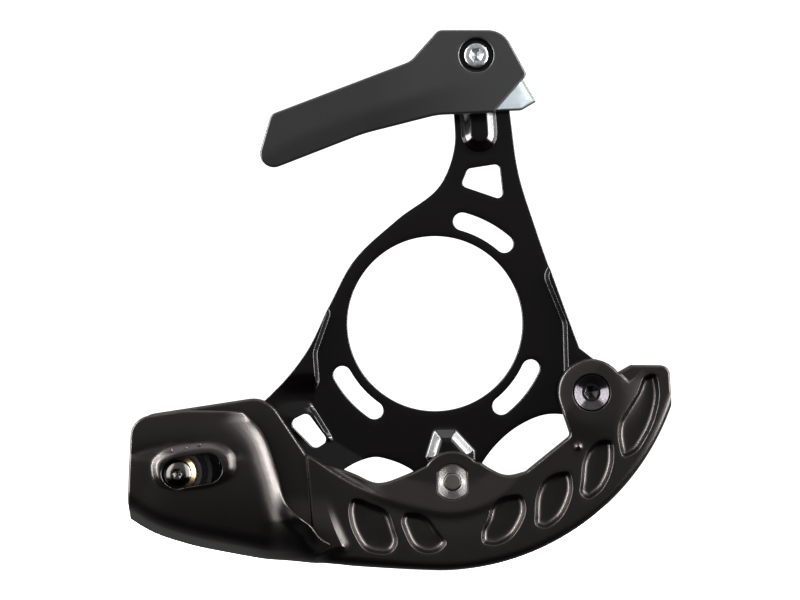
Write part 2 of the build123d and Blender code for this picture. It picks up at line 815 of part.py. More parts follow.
with BuildPart() as bearing_inner_race:
    ring(pulley_at, bearing_level, bearing_face, inner_race_diameter / 2, bearing_bore / 2)
    add(ball_groove.part, mode=Mode.SUBTRACT)
bearing_inner_race.part.label = "bearing_inner_race"

with BuildPart() as bearing_balls:
    with Locations(level(chain_level)):
        with Locations(pulley_at):
            with PolarLocations(ball_circle, ball_count):
                Sphere(ball_diameter / 2)
bearing_balls.part.label = "bearing_balls"

with BuildPart() as bearing_cage:
    ring(
        pulley_at,
        chain_level - cage_width / 2,
        chain_level + cage_width / 2,
        ball_circle + cage_wall / 2,
        ball_circle - cage_wall / 2,
    )
    with Locations(level(chain_level)):
        with Locations(pulley_at):
            with PolarLocations(ball_circle, ball_count):
                Cylinder(race_groove, ball_diameter, rotation=(0, 90, 0), mode=Mode.SUBTRACT)
bearing_cage.part.label = "bearing_cage"

shield_levels = {
    "bearing_shield_rear": bearing_level,
    "bearing_shield_front": bearing_face - shield_thickness,
}
bearing_shields = []
for shield_name, shield_level in shield_levels.items():
    with BuildPart() as bearing_shield:
        ring(
            pulley_at,
            shield_level,
            shield_level + shield_thickness,
            outer_race_bore / 2 - thread_clearance,
            inner_race_diameter / 2 + hole_clearance,
        )
    bearing_shield.part.label = shield_name
    bearing_shields.append(bearing_shield)

with BuildPart() as pulley_sleeve:
    ring(
        pulley_at,
        bearing_level,
        bearing_face,
        bearing_bore / 2 - sleeve_fit,
        m5_diameter / 2 + thread_clearance,
    )
    ring(
        pulley_at,
        bearing_face,
        sleeve_flange_level,
        inner_race_diameter / 2,
        m5_diameter / 2 + thread_clearance,
    )
    ring(
        pulley_at,
        sleeve_flange_level,
        pulley_head_level,
        sleeve_flange_diameter / 2,
        m5_diameter / 2 + thread_clearance,
    )
pulley_sleeve.part.label = "pulley_sleeve"

with BuildPart() as pulley_spacer:
    ring(
        pulley_at,
        seat_level + running_clearance,
        bearing_level,
        spacer_diameter / 2,
        m5_diameter / 2 + thread_clearance,
    )
pulley_spacer.part.label = "pulley_spacer"

with BuildPart() as pulley_bolt:
    ring(pulley_at, pulley_nut_level, pulley_head_level, m5_diameter / 2, 0)
    ring(pulley_at, pulley_head_level, pulley_head_level + m5_button_head[1], m5_button_head[0] / 2, 0)
    fillet(pulley_bolt.faces().sort_by(Axis.Y)[0].edges(), radius=head_round)
    hexagon_socket(pulley_at, pulley_head_level + m5_button_head[1], socket_depth, m5_button_head[2])
pulley_bolt.part.label = "pulley_bolt"

with BuildPart() as pulley_nut:
    with BuildSketch(level(pulley_nut_level)):
        with Locations(pulley_at):
            RegularPolygon(m5_flange_nut[0] / 2, 6, major_radius=False)
            Circle(m5_diameter / 2 + thread_clearance, mode=Mode.SUBTRACT)
    extrude(amount=m5_flange_nut[1])
    ring(
        pulley_at,
        pulley_nut_level + m5_flange_nut[1] - m5_flange_nut[3],
        pulley_nut_level + m5_flange_nut[1],
        m5_flange_nut[2] / 2,
        m5_diameter / 2 + thread_clearance,
    )
pulley_nut.part.label = "pulley_nut"

os.makedirs("parts", exist_ok=True)
for piece in (
    backplate,
    upper_guide_outer,
    upper_guide_inner,
    upper_guide_washer,
    upper_guide_bolt,
    upper_guide_nut,
    skid,
    front_bolt,
    front_sleeve,
    front_nut,
    middle_bolt,
    middle_nut,
    pulley_wheel,
    bearing_outer_race,
    bearing_inner_race,
    bearing_balls,
    bearing_cage,
    *bearing_shields,
    pulley_sleeve,
    pulley_spacer,
    pulley_bolt,
    pulley_nut,
):
    export_step(piece.part, f"parts/{piece.part.label}.step")
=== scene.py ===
import math

import bpy
import numpy as np
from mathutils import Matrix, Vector
from mathutils.geometry import delaunay_2d_cdt


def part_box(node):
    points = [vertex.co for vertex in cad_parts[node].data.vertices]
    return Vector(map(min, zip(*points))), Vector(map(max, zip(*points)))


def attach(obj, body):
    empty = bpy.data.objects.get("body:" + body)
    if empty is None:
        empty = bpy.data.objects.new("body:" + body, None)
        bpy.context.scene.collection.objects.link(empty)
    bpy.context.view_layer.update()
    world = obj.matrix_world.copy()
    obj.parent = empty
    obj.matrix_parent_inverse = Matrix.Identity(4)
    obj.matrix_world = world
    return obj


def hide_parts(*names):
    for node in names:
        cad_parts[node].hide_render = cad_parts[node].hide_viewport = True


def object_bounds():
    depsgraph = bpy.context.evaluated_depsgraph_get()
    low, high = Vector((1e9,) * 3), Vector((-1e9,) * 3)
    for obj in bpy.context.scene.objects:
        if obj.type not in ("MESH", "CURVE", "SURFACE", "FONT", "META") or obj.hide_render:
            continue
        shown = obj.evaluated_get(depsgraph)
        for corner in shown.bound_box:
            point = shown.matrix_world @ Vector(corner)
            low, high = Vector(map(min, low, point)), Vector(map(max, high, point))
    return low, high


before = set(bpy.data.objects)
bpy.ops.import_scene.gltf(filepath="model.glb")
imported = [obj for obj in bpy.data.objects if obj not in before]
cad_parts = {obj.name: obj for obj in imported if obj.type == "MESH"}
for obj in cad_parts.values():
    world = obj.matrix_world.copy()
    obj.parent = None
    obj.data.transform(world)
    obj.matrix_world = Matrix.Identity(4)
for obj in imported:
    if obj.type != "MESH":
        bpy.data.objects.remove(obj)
cad_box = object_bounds()

# Plans are drawn in millimetres as (x, z), seen from outboard. A level is a distance outboard of the mounting
# face, so a point of a piece is (x, -level, z).


# Backplate
# One sheet of 3 mm aluminium, blanked and then pressed: the rail, two lobes and the middle bump stand 3 mm
# proud. It is anodised black, and every other piece bolts to it.
def smooth_line(points, per_span=10):
    """Curve through points: cubic spans, with the slope of the parabola through each three neighbours."""
    points = np.asarray(points, float)
    span = np.linalg.norm(np.diff(points, axis=0), axis=1)[:, None]
    slope = np.diff(points, axis=0) / span
    middle = (slope[:-1] * span[1:] + slope[1:] * span[:-1]) / (span[:-1] + span[1:])
    slopes = np.vstack([2 * slope[:1] - middle[:1], middle, 2 * slope[-1:] - middle[-1:]])
    share = np.linspace(0, 1, per_span, endpoint=False)[:, None, None]
    rest = 1 - share
    curve = (
        (1 + 2 * share) * rest**2 * points[:-1]
        + share * rest**2 * span * slopes[:-1]
        + share**2 * (3 - 2 * share) * points[1:]
        - share**2 * rest * span * slopes[1:]
    )
    return np.vstack([curve.transpose(1, 0, 2).reshape(-1, 2), points[-1:]])


def around(centre, radius, first, last, count=60):
    """Arc about a centre between two angles in degrees."""
    turn = np.radians(np.linspace(first, last, count))
    return np.asarray(centre) + radius * np.column_stack([np.cos(turn), np.sin(turn)])


def arc(first, passing, last, count=24):
    """Arc through three points: its centre is as far from the first as from the other two."""
    first, passing, last = (np.asarray(point, float) for point in (first, passing, last))
    chords = np.array([passing - first, last - first])
    centre = first + np.linalg.solve(chords, (chords**2).sum(1) / 2)
    turn = np.degrees(np.unwrap([math.atan2(*(point - centre)[::-1]) for point in (first, passing, last)]))
    return around(centre, np.linalg.norm(first - centre), turn[0], turn[2], count)


def corner(before, at, after, radius):
    """Arc of a radius in a corner, tangent to the sides that come from before it and go on after it."""
    before, at, after = (np.asarray(point, float) for point in (before, at, after))
    back = (before - at) / np.linalg.norm(before - at)
    ahead = (after - at) / np.linalg.norm(after - at)
    half = math.acos(np.clip(back @ ahead, -1, 1)) / 2
    middle = (back + ahead) / np.linalg.norm(back + ahead)
    tangent = radius / math.tan(half)
    nearest = at + (radius / math.sin(half) - radius) * middle
    return arc(at + tangent * back, nearest, at + tangent * ahead, 12)


def rounded(corners, rounds):
    """Closed outline of straight sides with an arc of its own radius at each corner."""
    corners = np.asarray(corners, float)
    threes = zip(np.roll(corners, 1, axis=0), corners, np.roll(corners, -1, axis=0))
    radii = np.broadcast_to(rounds, len(corners))
    return np.vstack([corner(*three, radius) for three, radius in zip(threes, radii)])


def circle(centre, radius, count=96):
    """Points round a circle."""
    return around(centre, radius, 0, 360, count + 1)[:-1]


def slot(centre, travel, width, lean):
    """Outline of a slot: two half rounds, whose centres lie a travel apart along a lean in degrees."""
    ends = zip(around(centre, travel / 2, lean, lean + 180, 2), (lean, lean + 180))
    return np.vstack([around(end, width / 2, turn - 90, turn + 90, 24) for end, turn in ends])


def closed_curve(points, per_span=10):
    """Smooth closed line through points: the same curve over a lap at both ends, which is then cut off."""
    points = np.asarray(points, float)
    lapped = smooth_line(np.vstack([points[-2:], points, points[:2]]), per_span)
    return lapped[2 * per_span : -per_span - 1]


def evenly(points, gap):
    """Closed line with its points about a gap apart, measured along it."""
    points = np.vstack([points, points[:1]])
    along = np.concatenate([[0], np.cumsum(np.linalg.norm(np.diff(points, axis=0), axis=1))])
    at = np.linspace(0, along[-1], max(int(along[-1] / gap), 12), endpoint=False)
    return np.column_stack([np.interp(at, along, points[:, 0]), np.interp(at, along, points[:, 1])])


def inside(points, outline, reach=15.0, pairs_at_once=250000):
    """Distance of points inside a closed outline, negative outside and cut off at a reach.

    It is the distance to the nearest side, with a sign from how many sides a line to the right crosses.
    """
    distance = np.full(len(points), -reach)
    nearby = np.flatnonzero(((points > outline.min(0) - reach) & (points < outline.max(0) + reach)).all(1))
    start_x, start_z = outline.astype(np.float32).T
    end_x, end_z = np.roll(start_x, -1), np.roll(start_z, -1)
    side_x, side_z = end_x - start_x, end_z - start_z
    length = np.maximum(side_x**2 + side_z**2, 1e-9)
    rise = np.where(np.abs(side_z) > 1e-7, side_z, 1)
    for block in np.array_split(nearby, len(nearby) * len(outline) // pairs_at_once + 1):
        at_x, at_z = (points[block, axis, None].astype(np.float32) for axis in (0, 1))
        away_x, away_z = at_x - start_x, at_z - start_z
        share = np.clip((away_x * side_x + away_z * side_z) / length, 0, 1)
        near = np.sqrt(((away_x - share * side_x) ** 2 + (away_z - share * side_z) ** 2).min(1))
        spans = (at_z < start_z) != (at_z < end_z)
        crossings = (spans & (away_x < away_z * side_x / rise)).sum(1)
        distance[block] = np.where(crossings % 2 == 1, near, -near)
    return np.clip(distance, -reach, None)


def beside(outline, depths):
    """Rows of points at depths inside a closed outline, along its inward normals."""
    ahead = np.roll(outline, -1, axis=0) - np.roll(outline, 1, axis=0)
    normal = np.column_stack([-ahead[:, 1], ahead[:, 0]])
    normal /= np.maximum(np.linalg.norm(normal, axis=1, keepdims=True), 1e-9)
    following = np.roll(outline, -1, axis=0)
    turns_left = (outline[:, 0] * following[:, 1] - outline[:, 1] * following[:, 0]).sum() > 0
    return np.vstack([outline + (depth if turns_left else -depth) * normal for depth in depths])


def plan(outer, holes, rows, gap):
    """Triangles over an outline less its holes: rows of points where levels change, and filling elsewhere.

    Returns the points, the triangles and each point's distance inside the edge.
    """
    rings = [outer, *holes]
    clear_of_edge, merged = 0.015, 0.03
    row_share, cell_share, fill_share = 0.866, 0.55, 0.4
    least_depth, least_area, snap = 0.001, 1e-7, 1e-6

    def depth(points):
        """Distance inside the outline and outside its holes."""
        return np.minimum.reduce([inside(points, outer), *(-inside(points, hole) for hole in holes)])

    inner = np.vstack(rows)
    inner = inner[depth(inner) > clear_of_edge]
    inner = inner[np.unique(np.round(inner / merged).astype(int), axis=0, return_index=True)[1]]
    # The filling is a grid of equal triangles, left out where a cell or its neighbour has other points.
    low, high = outer.min(0), outer.max(0)
    across = np.arange(low[0], high[0], gap)
    up = np.arange(low[1], high[1], gap * row_share)
    grid_x, grid_z = np.meshgrid(across, up)
    grid_x[1::2] += gap / 2
    fill = np.column_stack([grid_x.ravel(), grid_z.ravel()])
    cell = cell_share * gap
    taken = np.floor((np.vstack([*rings, inner]) - low) / cell).astype(int)
    shape = np.floor((high - low) / cell).astype(int) + 4
    busy = np.zeros(shape, bool)
    for step_x in (0, 1, 2):
        for step_z in (0, 1, 2):
            busy[taken[:, 0] + step_x, taken[:, 1] + step_z] = True
    at = np.floor((fill - low) / cell).astype(int) + 1
    fill = fill[~busy[at[:, 0], at[:, 1]]]
    fill = fill[depth(fill) > fill_share * gap]
    # The rings' sides stay edges of the triangles. Slivers and what lies outside the outline are dropped.
    sizes = [len(ring) for ring in rings]
    first = np.cumsum([0, *sizes[:-1]])
    edges = np.vstack(
        [start + np.column_stack([np.arange(n), np.roll(np.arange(n), -1)]) for start, n in zip(first, sizes)]
    )
    points = np.vstack([*rings, inner, fill])
    found = delaunay_2d_cdt(points.tolist(), edges.tolist(), [], 0, snap, False)
    points, triangles = np.array(found[0]), np.array(found[2])
    one, two, three = (points[triangles[:, end]] for end in range(3))
    area = np.cross(two - one, three - one)
    triangles[area < 0] = triangles[area < 0][:, ::-1]
    kept = (depth((one + two + three) / 3) > least_depth) & (np.abs(area) > least_area)
    used, numbered = np.unique(triangles[kept], return_inverse=True)
    points = points[used]
    return points, numbered.reshape(-1, 3), depth(points)


def skin(points, triangles, front, back):
    """Closed skin of a flat piece: two sheets over one plan, and walls between their free edges."""
    count = len(points)
    sides = np.vstack([triangles[:, [0, 1]], triangles[:, [1, 2]], triangles[:, [2, 0]]])
    keys = sides[:, 0] * count + sides[:, 1]
    free = sides[~np.isin(sides[:, 1] * count + sides[:, 0], keys)]
    walls = np.vstack(
        [
            np.column_stack([free[:, 1], free[:, 0], free[:, 0] + count]),
            np.column_stack([free[:, 1], free[:, 0] + count, free[:, 1] + count]),
        ]
    )
    levels = np.concatenate([front, back])
    plan_twice = np.vstack([points, points])
    vertices = np.column_stack([plan_twice[:, 0], -levels, plan_twice[:, 1]]) / 1000
    return vertices, np.vstack([triangles, triangles[:, ::-1] + count, walls])


def make_piece(name, skins, material, body, node, crease=32):
    """Mesh object from skins in place of a CAD node, smooth but for edges sharper than the crease angle."""
    starts = np.cumsum([0] + [len(vertices) for vertices, _ in skins])
    vertices = np.vstack([vertices for vertices, _ in skins])
    faces = np.vstack([triangles + start for start, (_, triangles) in zip(starts, skins)])
    mesh = bpy.data.meshes.new(name)
    mesh.from_pydata(vertices.tolist(), [], faces.tolist())
    mesh.shade_smooth()
    mesh.set_sharp_from_angle(angle=math.radians(crease))
    mesh.materials.append(material)
    made = bpy.data.objects.new(name, mesh)
    bpy.context.scene.collection.objects.link(made)
    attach(made, body)
    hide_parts(node)
    return made


def edge_drop(depth, radius):
    """How far a rounded edge falls: a quarter circle over the last radius before the edge."""
    short = np.clip(radius - depth, 0, radius)
    return radius - np.sqrt(np.maximum(radius**2 - short**2, 0))


def edge_rows(radius):
    """Depths of the rows that draw a rounded edge, at angles round its quarter circle."""
    return radius * (1 - np.cos(np.radians([20, 40, 60, 75, 90])))


def step(distance, height, crown, foot, slope):
    """Formed step from 0 to a height: an arc at its foot, a straight wall at a slope, an arc at its crown."""
    lean = math.radians(slope)
    wall = (height - (crown + foot) * (1 - math.cos(lean))) / math.tan(lean)
    foot_end = foot * math.sin(lean)
    wall_end = foot_end + wall
    far = wall_end + crown * math.sin(lean)
    on_foot = foot - np.sqrt(np.maximum(foot**2 - np.clip(distance, 0, foot_end) ** 2, 0))
    on_wall = np.clip(distance - foot_end, 0, wall) * math.tan(lean)
    left = np.clip(far - distance, 0, far - wall_end)
    on_crown = crown * (1 - math.cos(lean)) - (crown - np.sqrt(np.maximum(crown**2 - left**2, 0)))
    return on_foot + on_wall + on_crown


def step_rows(height, crown, foot, slope):
    """Distances of the rows that draw a formed step, at equal angles round its two arcs."""
    lean = math.radians(slope)
    wall = (height - (crown + foot) * (1 - math.cos(lean))) / math.tan(lean)
    turn = np.linspace(0, lean, 5)
    far = foot * math.sin(lean) + wall + crown * math.sin(lean)
    return np.concatenate([foot * np.sin(turn), far - crown * np.sin(turn)])


guide_bolt = np.array([13.6, 90.5])
middle_bolt = np.array([5.9, -54.0])
front_bolt = np.array([53.3, -23.4])
pulley_axis = np.array([-86.9, -50.2])
pulley_travel, pulley_lean = 10.3, 10.1
slot_middle = around(pulley_axis, pulley_travel / 2, pulley_lean, pulley_lean, 1)[0]
rail_lean = 4
rail_across, rail_along = around((0, 0), 1, rail_lean, rail_lean + 90, 2)
arm_above_bolt, arm_half_width = 6.5, 9.4
arm_top = guide_bolt + arm_above_bolt * rail_along
arm_half = arm_half_width * rail_across
arm_top_front, arm_top_rear = arm_top + arm_half, arm_top - arm_half
plate_spacing = 0.6
plate_outline = evenly(
    np.vstack(
        [
            smooth_line(
                [arm_top_front, (25.9, 72.7), (29.0, 51.3), (34.5, 33.7), (43.8, 7.5), (49.7, -8.4)]
            ),
            arc(front_bolt + (2.6, 10.2), front_bolt + (10.5, -0.5), front_bolt + (-2.0, -10.2)),
            smooth_line(
                [front_bolt + (-2.0, -10.2), (39.4, -31.2), (28.3, -35.6), (21.6, -41.2), (16.0, -48.6)]
            ),
            arc(middle_bolt + (8.5, -1.5), middle_bolt + (0, -8.5), middle_bolt + (-8.5, -1.5)),
            smooth_line([(-7.9, -50.5), (-15.5, -47.0), (-20.7, -46.0), (-25.0, -47.0), (-33.0, -51.5)]),
            arc(pulley_axis + (0, -8.5), pulley_axis + (-8.5, 0), pulley_axis + (-4.0, 7.5)),
            smooth_line(
                [(-59.0, -26.7), (-44.5, -10.1), (-35.8, 7.5), (-28.6, 20.9), (-13.1, 35.8)]
                + [(2.1, 48.2), (6.9, 62.0), (6.6, 72.3), arm_top_rear]
            ),
        ]
    ),
    plate_spacing,
)
mount_radius, mount_half_width, mount_half_sweep = 36.55, 3.15, 13
mount_inner, mount_outer = 33.4, 39.7


def mount_slot(middle):
    """Arc slot for a frame bolt: two arcs about the centre, closed by half rounds at the sweep's ends."""
    first, last = middle - mount_half_sweep, middle + mount_half_sweep
    first_end, last_end = around((0, 0), mount_radius, first, last, 2)
    return np.vstack(
        [
            around((0, 0), mount_outer, first, last, 24),
            around(last_end, mount_half_width, last, last + 180, 14)[1:-1],
            around((0, 0), mount_inner, last, first, 24),
            around(first_end, mount_half_width, first + 180, first + 360, 14)[1:-1],
        ]
    )


# Holes for the bottom bracket, three frame bolts, two for lightness, and the bolts of the other pieces
bracket_radius, m6_hole = 30.25, 3.2
guide_travel, m5_slot_width = 8.1, 5.4
plate_holes = [
    evenly(hole, plate_spacing)
    for hole in (
        circle((0, 0), bracket_radius, 300),
        mount_slot(62),
        mount_slot(-38),
        mount_slot(-138),
        rounded([(11.4, 53.6), (22.3, 55.3), (23.7, 42.6), (9.0, 47.6)], 1.7),
        rounded([(-50.6, -33.8), (-43.9, -30.4), (-36.6, -40.4), (-41.4, -43.4)], 2.2),
        slot(guide_bolt - guide_travel / 2 * rail_along, guide_travel, m5_slot_width, 90 + rail_lean),
        slot(slot_middle, pulley_travel, m5_slot_width, pulley_lean),
        circle(middle_bolt, m6_hole),
        circle(front_bolt, m6_hole),
    )
]
# Seats pressed outwards: the rail, the front lobe, the rear lobe and the middle bump
rail_run, rail_width = 44.2, 12.6
seat_outlines = [
    evenly(seat, plate_spacing)
    for seat in (
        slot(guide_bolt - 3.0 * rail_along, rail_run, rail_width, 90 + rail_lean),
        rounded(
            [(70, 40), (42.5, 24.5), (36.9, 17), (43.9, 0), (44.3, -14), (44.6, -40), (80, -40)],
            [2, 2, 5, 6, 6, 2, 2],
        ),
        rounded(
            [(-42.0, 12.0), (-35.5, 4.0), (-40.4, -10.0), (-39.6, -20.0), (-41.9, -28.0), (-34.5, -40.0)]
            + [(-23.0, -47.0), (-23.0, -75.0), (-120.0, -75.0), (-120.0, 12.0)],
            [2, 3, 6, 5, 2, 3, 4, 2, 2, 2],
        ),
        rounded(
            middle_bolt
            + [(-9.8, 7.8), (-6.6, 18.3), (1.3, 18.3), (8.4, 10.6), (8.5, -14), (-8.5, -14), (-8.5, 6)],
            [1.2, 2.5, 2.5, 1.5, 1, 1, 1],
        ),
    )
]
rail_wall = dict(height=1.4, crown=0.3, foot=0.4, slope=62)
rail_shoulder = dict(height=1.6, crown=1.2, foot=0.3, slope=36)
rail_wall_width = step_rows(**rail_wall).max()
joggle = dict(height=3.0, crown=0.5, foot=0.5, slope=69)
faded_joggle = dict(height=3.0, crown=6.0, foot=5.0, slope=12.5)
bump_flank = dict(height=3.0, crown=3.0, foot=1.5, slope=40)
recess_wall = dict(height=3.0, crown=0.3, foot=0.3, slope=80)
recess_inset = 1.2
rail_seat, front_seat, rear_seat, bump_seat = seat_outlines
sheet, plate_edge = 3.0, 0.3
points, triangles, depth = plan(
    plate_outline,
    plate_holes,
    [
        beside(plate_outline, edge_rows(plate_edge)),
        *(beside(hole, -edge_rows(plate_edge)) for hole in plate_holes),
        beside(rail_seat, step_rows(**rail_wall)),
        beside(rail_seat, rail_wall_width + step_rows(**rail_shoulder)),
        beside(bump_seat, step_rows(**bump_flank)),
        *(beside(seat, step_rows(**joggle)) for seat in (front_seat, rear_seat)),
        beside(rear_seat, step_rows(**faded_joggle)),
        *(beside(seat, recess_inset + step_rows(**recess_wall)) for seat in seat_outlines),
    ],
    1.4,
)


def ease(value, first, last):
    """Share from 0 to 1 between two values, by a cubic that is level at both ends."""
    share = np.clip((value - first) / (last - first), 0, 1)
    return share**2 * (3 - 2 * share)


# The rear lobe's step is sharp, but fades to a long slope over two stretches of its height.
in_rail, in_front, in_rear, in_bump = (inside(points, seat) for seat in seat_outlines)
down = -points[:, 1]
rear_fades = ease(down, 17, 24) - ease(down, 27, 32) + ease(down, 36, 41)
faded_rise = rear_fades * step(in_rear, **faded_joggle)
plate_front = sheet + np.maximum.reduce(
    [
        step(in_rail, **rail_wall) + step(in_rail - rail_wall_width, **rail_shoulder),
        step(in_bump, **bump_flank),
        step(in_front, **joggle),
        (1 - rear_fades) * step(in_rear, **joggle) + faded_rise,
    ]
)
plate_back = np.maximum.reduce(
    [step(within - recess_inset, **recess_wall) for within in (in_rail, in_bump, in_front)]
    + [(1 - rear_fades) * step(in_rear - recess_inset, **recess_wall) + faded_rise]
)
plate_skin = skin(
    points,
    triangles,
    plate_front - edge_drop(depth, plate_edge),
    plate_back + edge_drop(depth, plate_edge),
)


def linear(colour):
    """Linear red, green and blue of an sRGB hex colour: a straight foot, then a power of 2.4. Opaque."""
    shades = np.array([int(colour[at : at + 2], 16) for at in (1, 3, 5)]) / 255
    return (*np.where(shades <= 0.04045, shades / 12.92, ((shades + 0.055) / 1.055) ** 2.4), 1.0)


def add_node(tree, kind, settings=None, links=None):
    """Add a node: settings are its options or its inputs' values, links are inputs and what feeds them."""
    made = tree.nodes.new(kind)
    for name, value in (settings or {}).items():
        if name in made.inputs:
            made.inputs[name].default_value = value
        else:
            setattr(made, name, value)
    for name, source in (links or {}).items():
        tree.links.new(source, made.inputs[name])
    return made


def finish_material(name, settings):
    """New material with settings on its shader's sockets, and its tree, shader and object coordinates."""
    material = bpy.data.materials.new(name)
    material.use_nodes = True
    tree = material.node_tree
    shader = tree.nodes["Principled BSDF"]
    for socket, value in settings.items():
        shader.inputs[socket].default_value = value
    return material, (tree, shader, add_node(tree, "ShaderNodeTexCoord").outputs["Object"])


def cloud_roughness(tree, shader, place, patch, detail, smooth, rough):
    """Roughness that drifts from smooth to rough with a noise whose patches have a size in millimetres."""
    noise = {"Scale": 1000 / patch, "Detail": detail}
    cloud = add_node(tree, "ShaderNodeTexNoise", noise, {"Vector": place})
    drift = add_node(
        tree, "ShaderNodeMapRange", {"To Min": smooth, "To Max": rough}, {"Value": cloud.outputs["Fac"]}
    )
    tree.links.new(drift.outputs["Result"], shader.inputs["Roughness"])


def surface_grain(tree, shader, place, size, strength, height):
    """Uneven surface: a noise with grains of a size and a height in millimetres bends the normal."""
    noise = {"Scale": 1000 / size, "Detail": 2.0}
    grain = add_node(tree, "ShaderNodeTexNoise", noise, {"Vector": place})
    relief = {"Strength": strength, "Distance": height / 1000}
    bump = add_node(tree, "ShaderNodeBump", relief, {"Height": grain.outputs["Fac"]})
    tree.links.new(bump.outputs["Normal"], shader.inputs["Normal"])


# Hard anodised and dyed aluminium: a glassy film of oxide, deep black with a brown cast. It is smooth enough
# to mirror the lamps at each fold, with the faint ripple of the rolled sheet under it.
anodised_plate, finish = finish_material(
    "anodised_aluminium_black_pressed",
    {"Base Color": linear("#060404"), "IOR": 1.6, "Specular IOR Level": 0.4},
)
cloud_roughness(*finish, patch=4, detail=3.0, smooth=0.14, rough=0.2)
surface_grain(*finish, size=0.6, strength=0.02, height=0.4)
make_piece("backplate_pressed", [plate_skin], anodised_plate, "frame", "backplate")

# Skid
# Moulded from glass-filled nylon: a pocketed crescent that slides over rocks, with a lug and a tab for its
# screws and a block at the rear, whose cheek and hull close round the roller. It is screwed to the backplate.
rim_centre, rim_radius = np.array([1.2, 0.0]), 84.4
block_foot = pulley_axis + (-17.3, -16.3)
kink = pulley_axis + (42.6, 5.6)
block_corner, block_crest = pulley_axis + (-15.4, 18.6), pulley_axis + (29.3, 25.4)
lug_radius, tab_radius = 11.4, 10.5
hull_line = smooth_line(
    [(1.2, -84.4), (-29.5, -82.9), (-51.6, -81.0), (-68.0, -78.6), (-86.0, -74.8), (-97.0, -70.9), block_foot]
)
outline_gap, area_gap, pocket_gap, hole_gap = 0.55, 0.7, 0.5, 0.4
far_corners = [(-140, -46), (-140, 90), (140, 90)]
rim_area = evenly(np.vstack([around(rim_centre, rim_radius, 30, -90, 200), hull_line, far_corners]), area_gap)
# Under the block, the crescent's edge is tucked in behind the block's.
tuck = 0.35
crescent_outline = evenly(
    np.vstack(
        [
            around(rim_centre, rim_radius, -19.5, -90, 160),
            hull_line + (0, tuck) * ease(-hull_line[:, :1], 27, 33),
            corner(block_foot, block_corner, block_crest, 7.0) + (tuck, 0),
            corner(block_corner, block_crest, kink, 10.0),
            smooth_line(
                [kink, (-36.0, -48.2), (-27.5, -51.6), (-20.2, -54.6), (-10.5, -52.0), (-5.0, -49.4)]
            ),
            around(middle_bolt, tab_radius, 148, 42, 40),
            smooth_line([(15.6, -47.4), (19.5, -50.0), (24.0, -51.8), (28.2, -51.4)]),
            corner((28.2, -51.4), (31.0, -50.6), (46.3, -38.2), 2.0),
            corner((31.0, -50.6), (46.3, -38.2), (42.4, -26.7), 1.5),
            around(front_bolt, lug_radius, 196.8, 36, 60),
            corner(front_bolt + (9.5, 6.6), (67.0, -14.1), (79.9, -14.2), 1.5),
            corner((67.0, -14.1), (79.9, -14.2), (80.8, -28.2), 3.0),
        ]
    ),
    outline_gap,
)


def flat_sided(centre, radius, flat):
    """Circle with two flats: the arcs above and below an angle in degrees, joined by straight sides."""
    return np.vstack([around(centre, radius, turn + flat, turn + 180 - flat, 30) for turn in (0, 180)])


nut_hole_radius, nut_hole_flat, lug_hole_radius, spacer_slot_width = 6.25, 34.5, 6.45, 11.6
nut_hole = evenly(flat_sided(middle_bolt, nut_hole_radius, nut_hole_flat), hole_gap)
lug_hole = evenly(circle(front_bolt, lug_hole_radius), hole_gap)
spacer_slot = evenly(slot(slot_middle, pulley_travel, spacer_slot_width, pulley_lean), 0.6)

# Parts of the crescent's face: the ramp beside the block, the lens round the nut, the band below it, the
# notch beside the lug, and six pockets
ramp_line = kink + [(0, 30), (0, 0), (2.0, -24.5), (2.0, -50.0)]
ramp_area = evenly(np.vstack([ramp_line, [(140, -120), (140, 30)]]), area_gap)
lens_line = smooth_line(
    [(-44.3, -44.6), (-36.8, -50.0), (-29.3, -54.6), (-20.2, -58.7), (-6.9, -62.7)]
    + [(5.9, -64.6), (17.0, -62.0), (31.0, -50.8)]
)
below_lens = evenly(
    np.vstack([(-60, -34), lens_line, (60, -10), (140, 30), (140, -130), (-60, -130)]), area_gap
)
band_area = evenly(
    np.vstack(
        [
            smooth_line([(-34.0, -50.0), (-37.4, -60.0), (-35.4, -67.5), (-31.9, -75.5)]),
            [(-36, -76.5), (-60, -90), (-60, -130), (140, -130), (140, 30), (-20, -20)],
        ]
    ),
    area_gap,
)
notch_corners = [(58, -8), (59.3, -14.2), (66.1, -20.6), (69.5, -18.0), (72.5, -8)]
notch_area = evenly(rounded(notch_corners, [1, 2, 1.2, 3, 1]), pocket_gap)
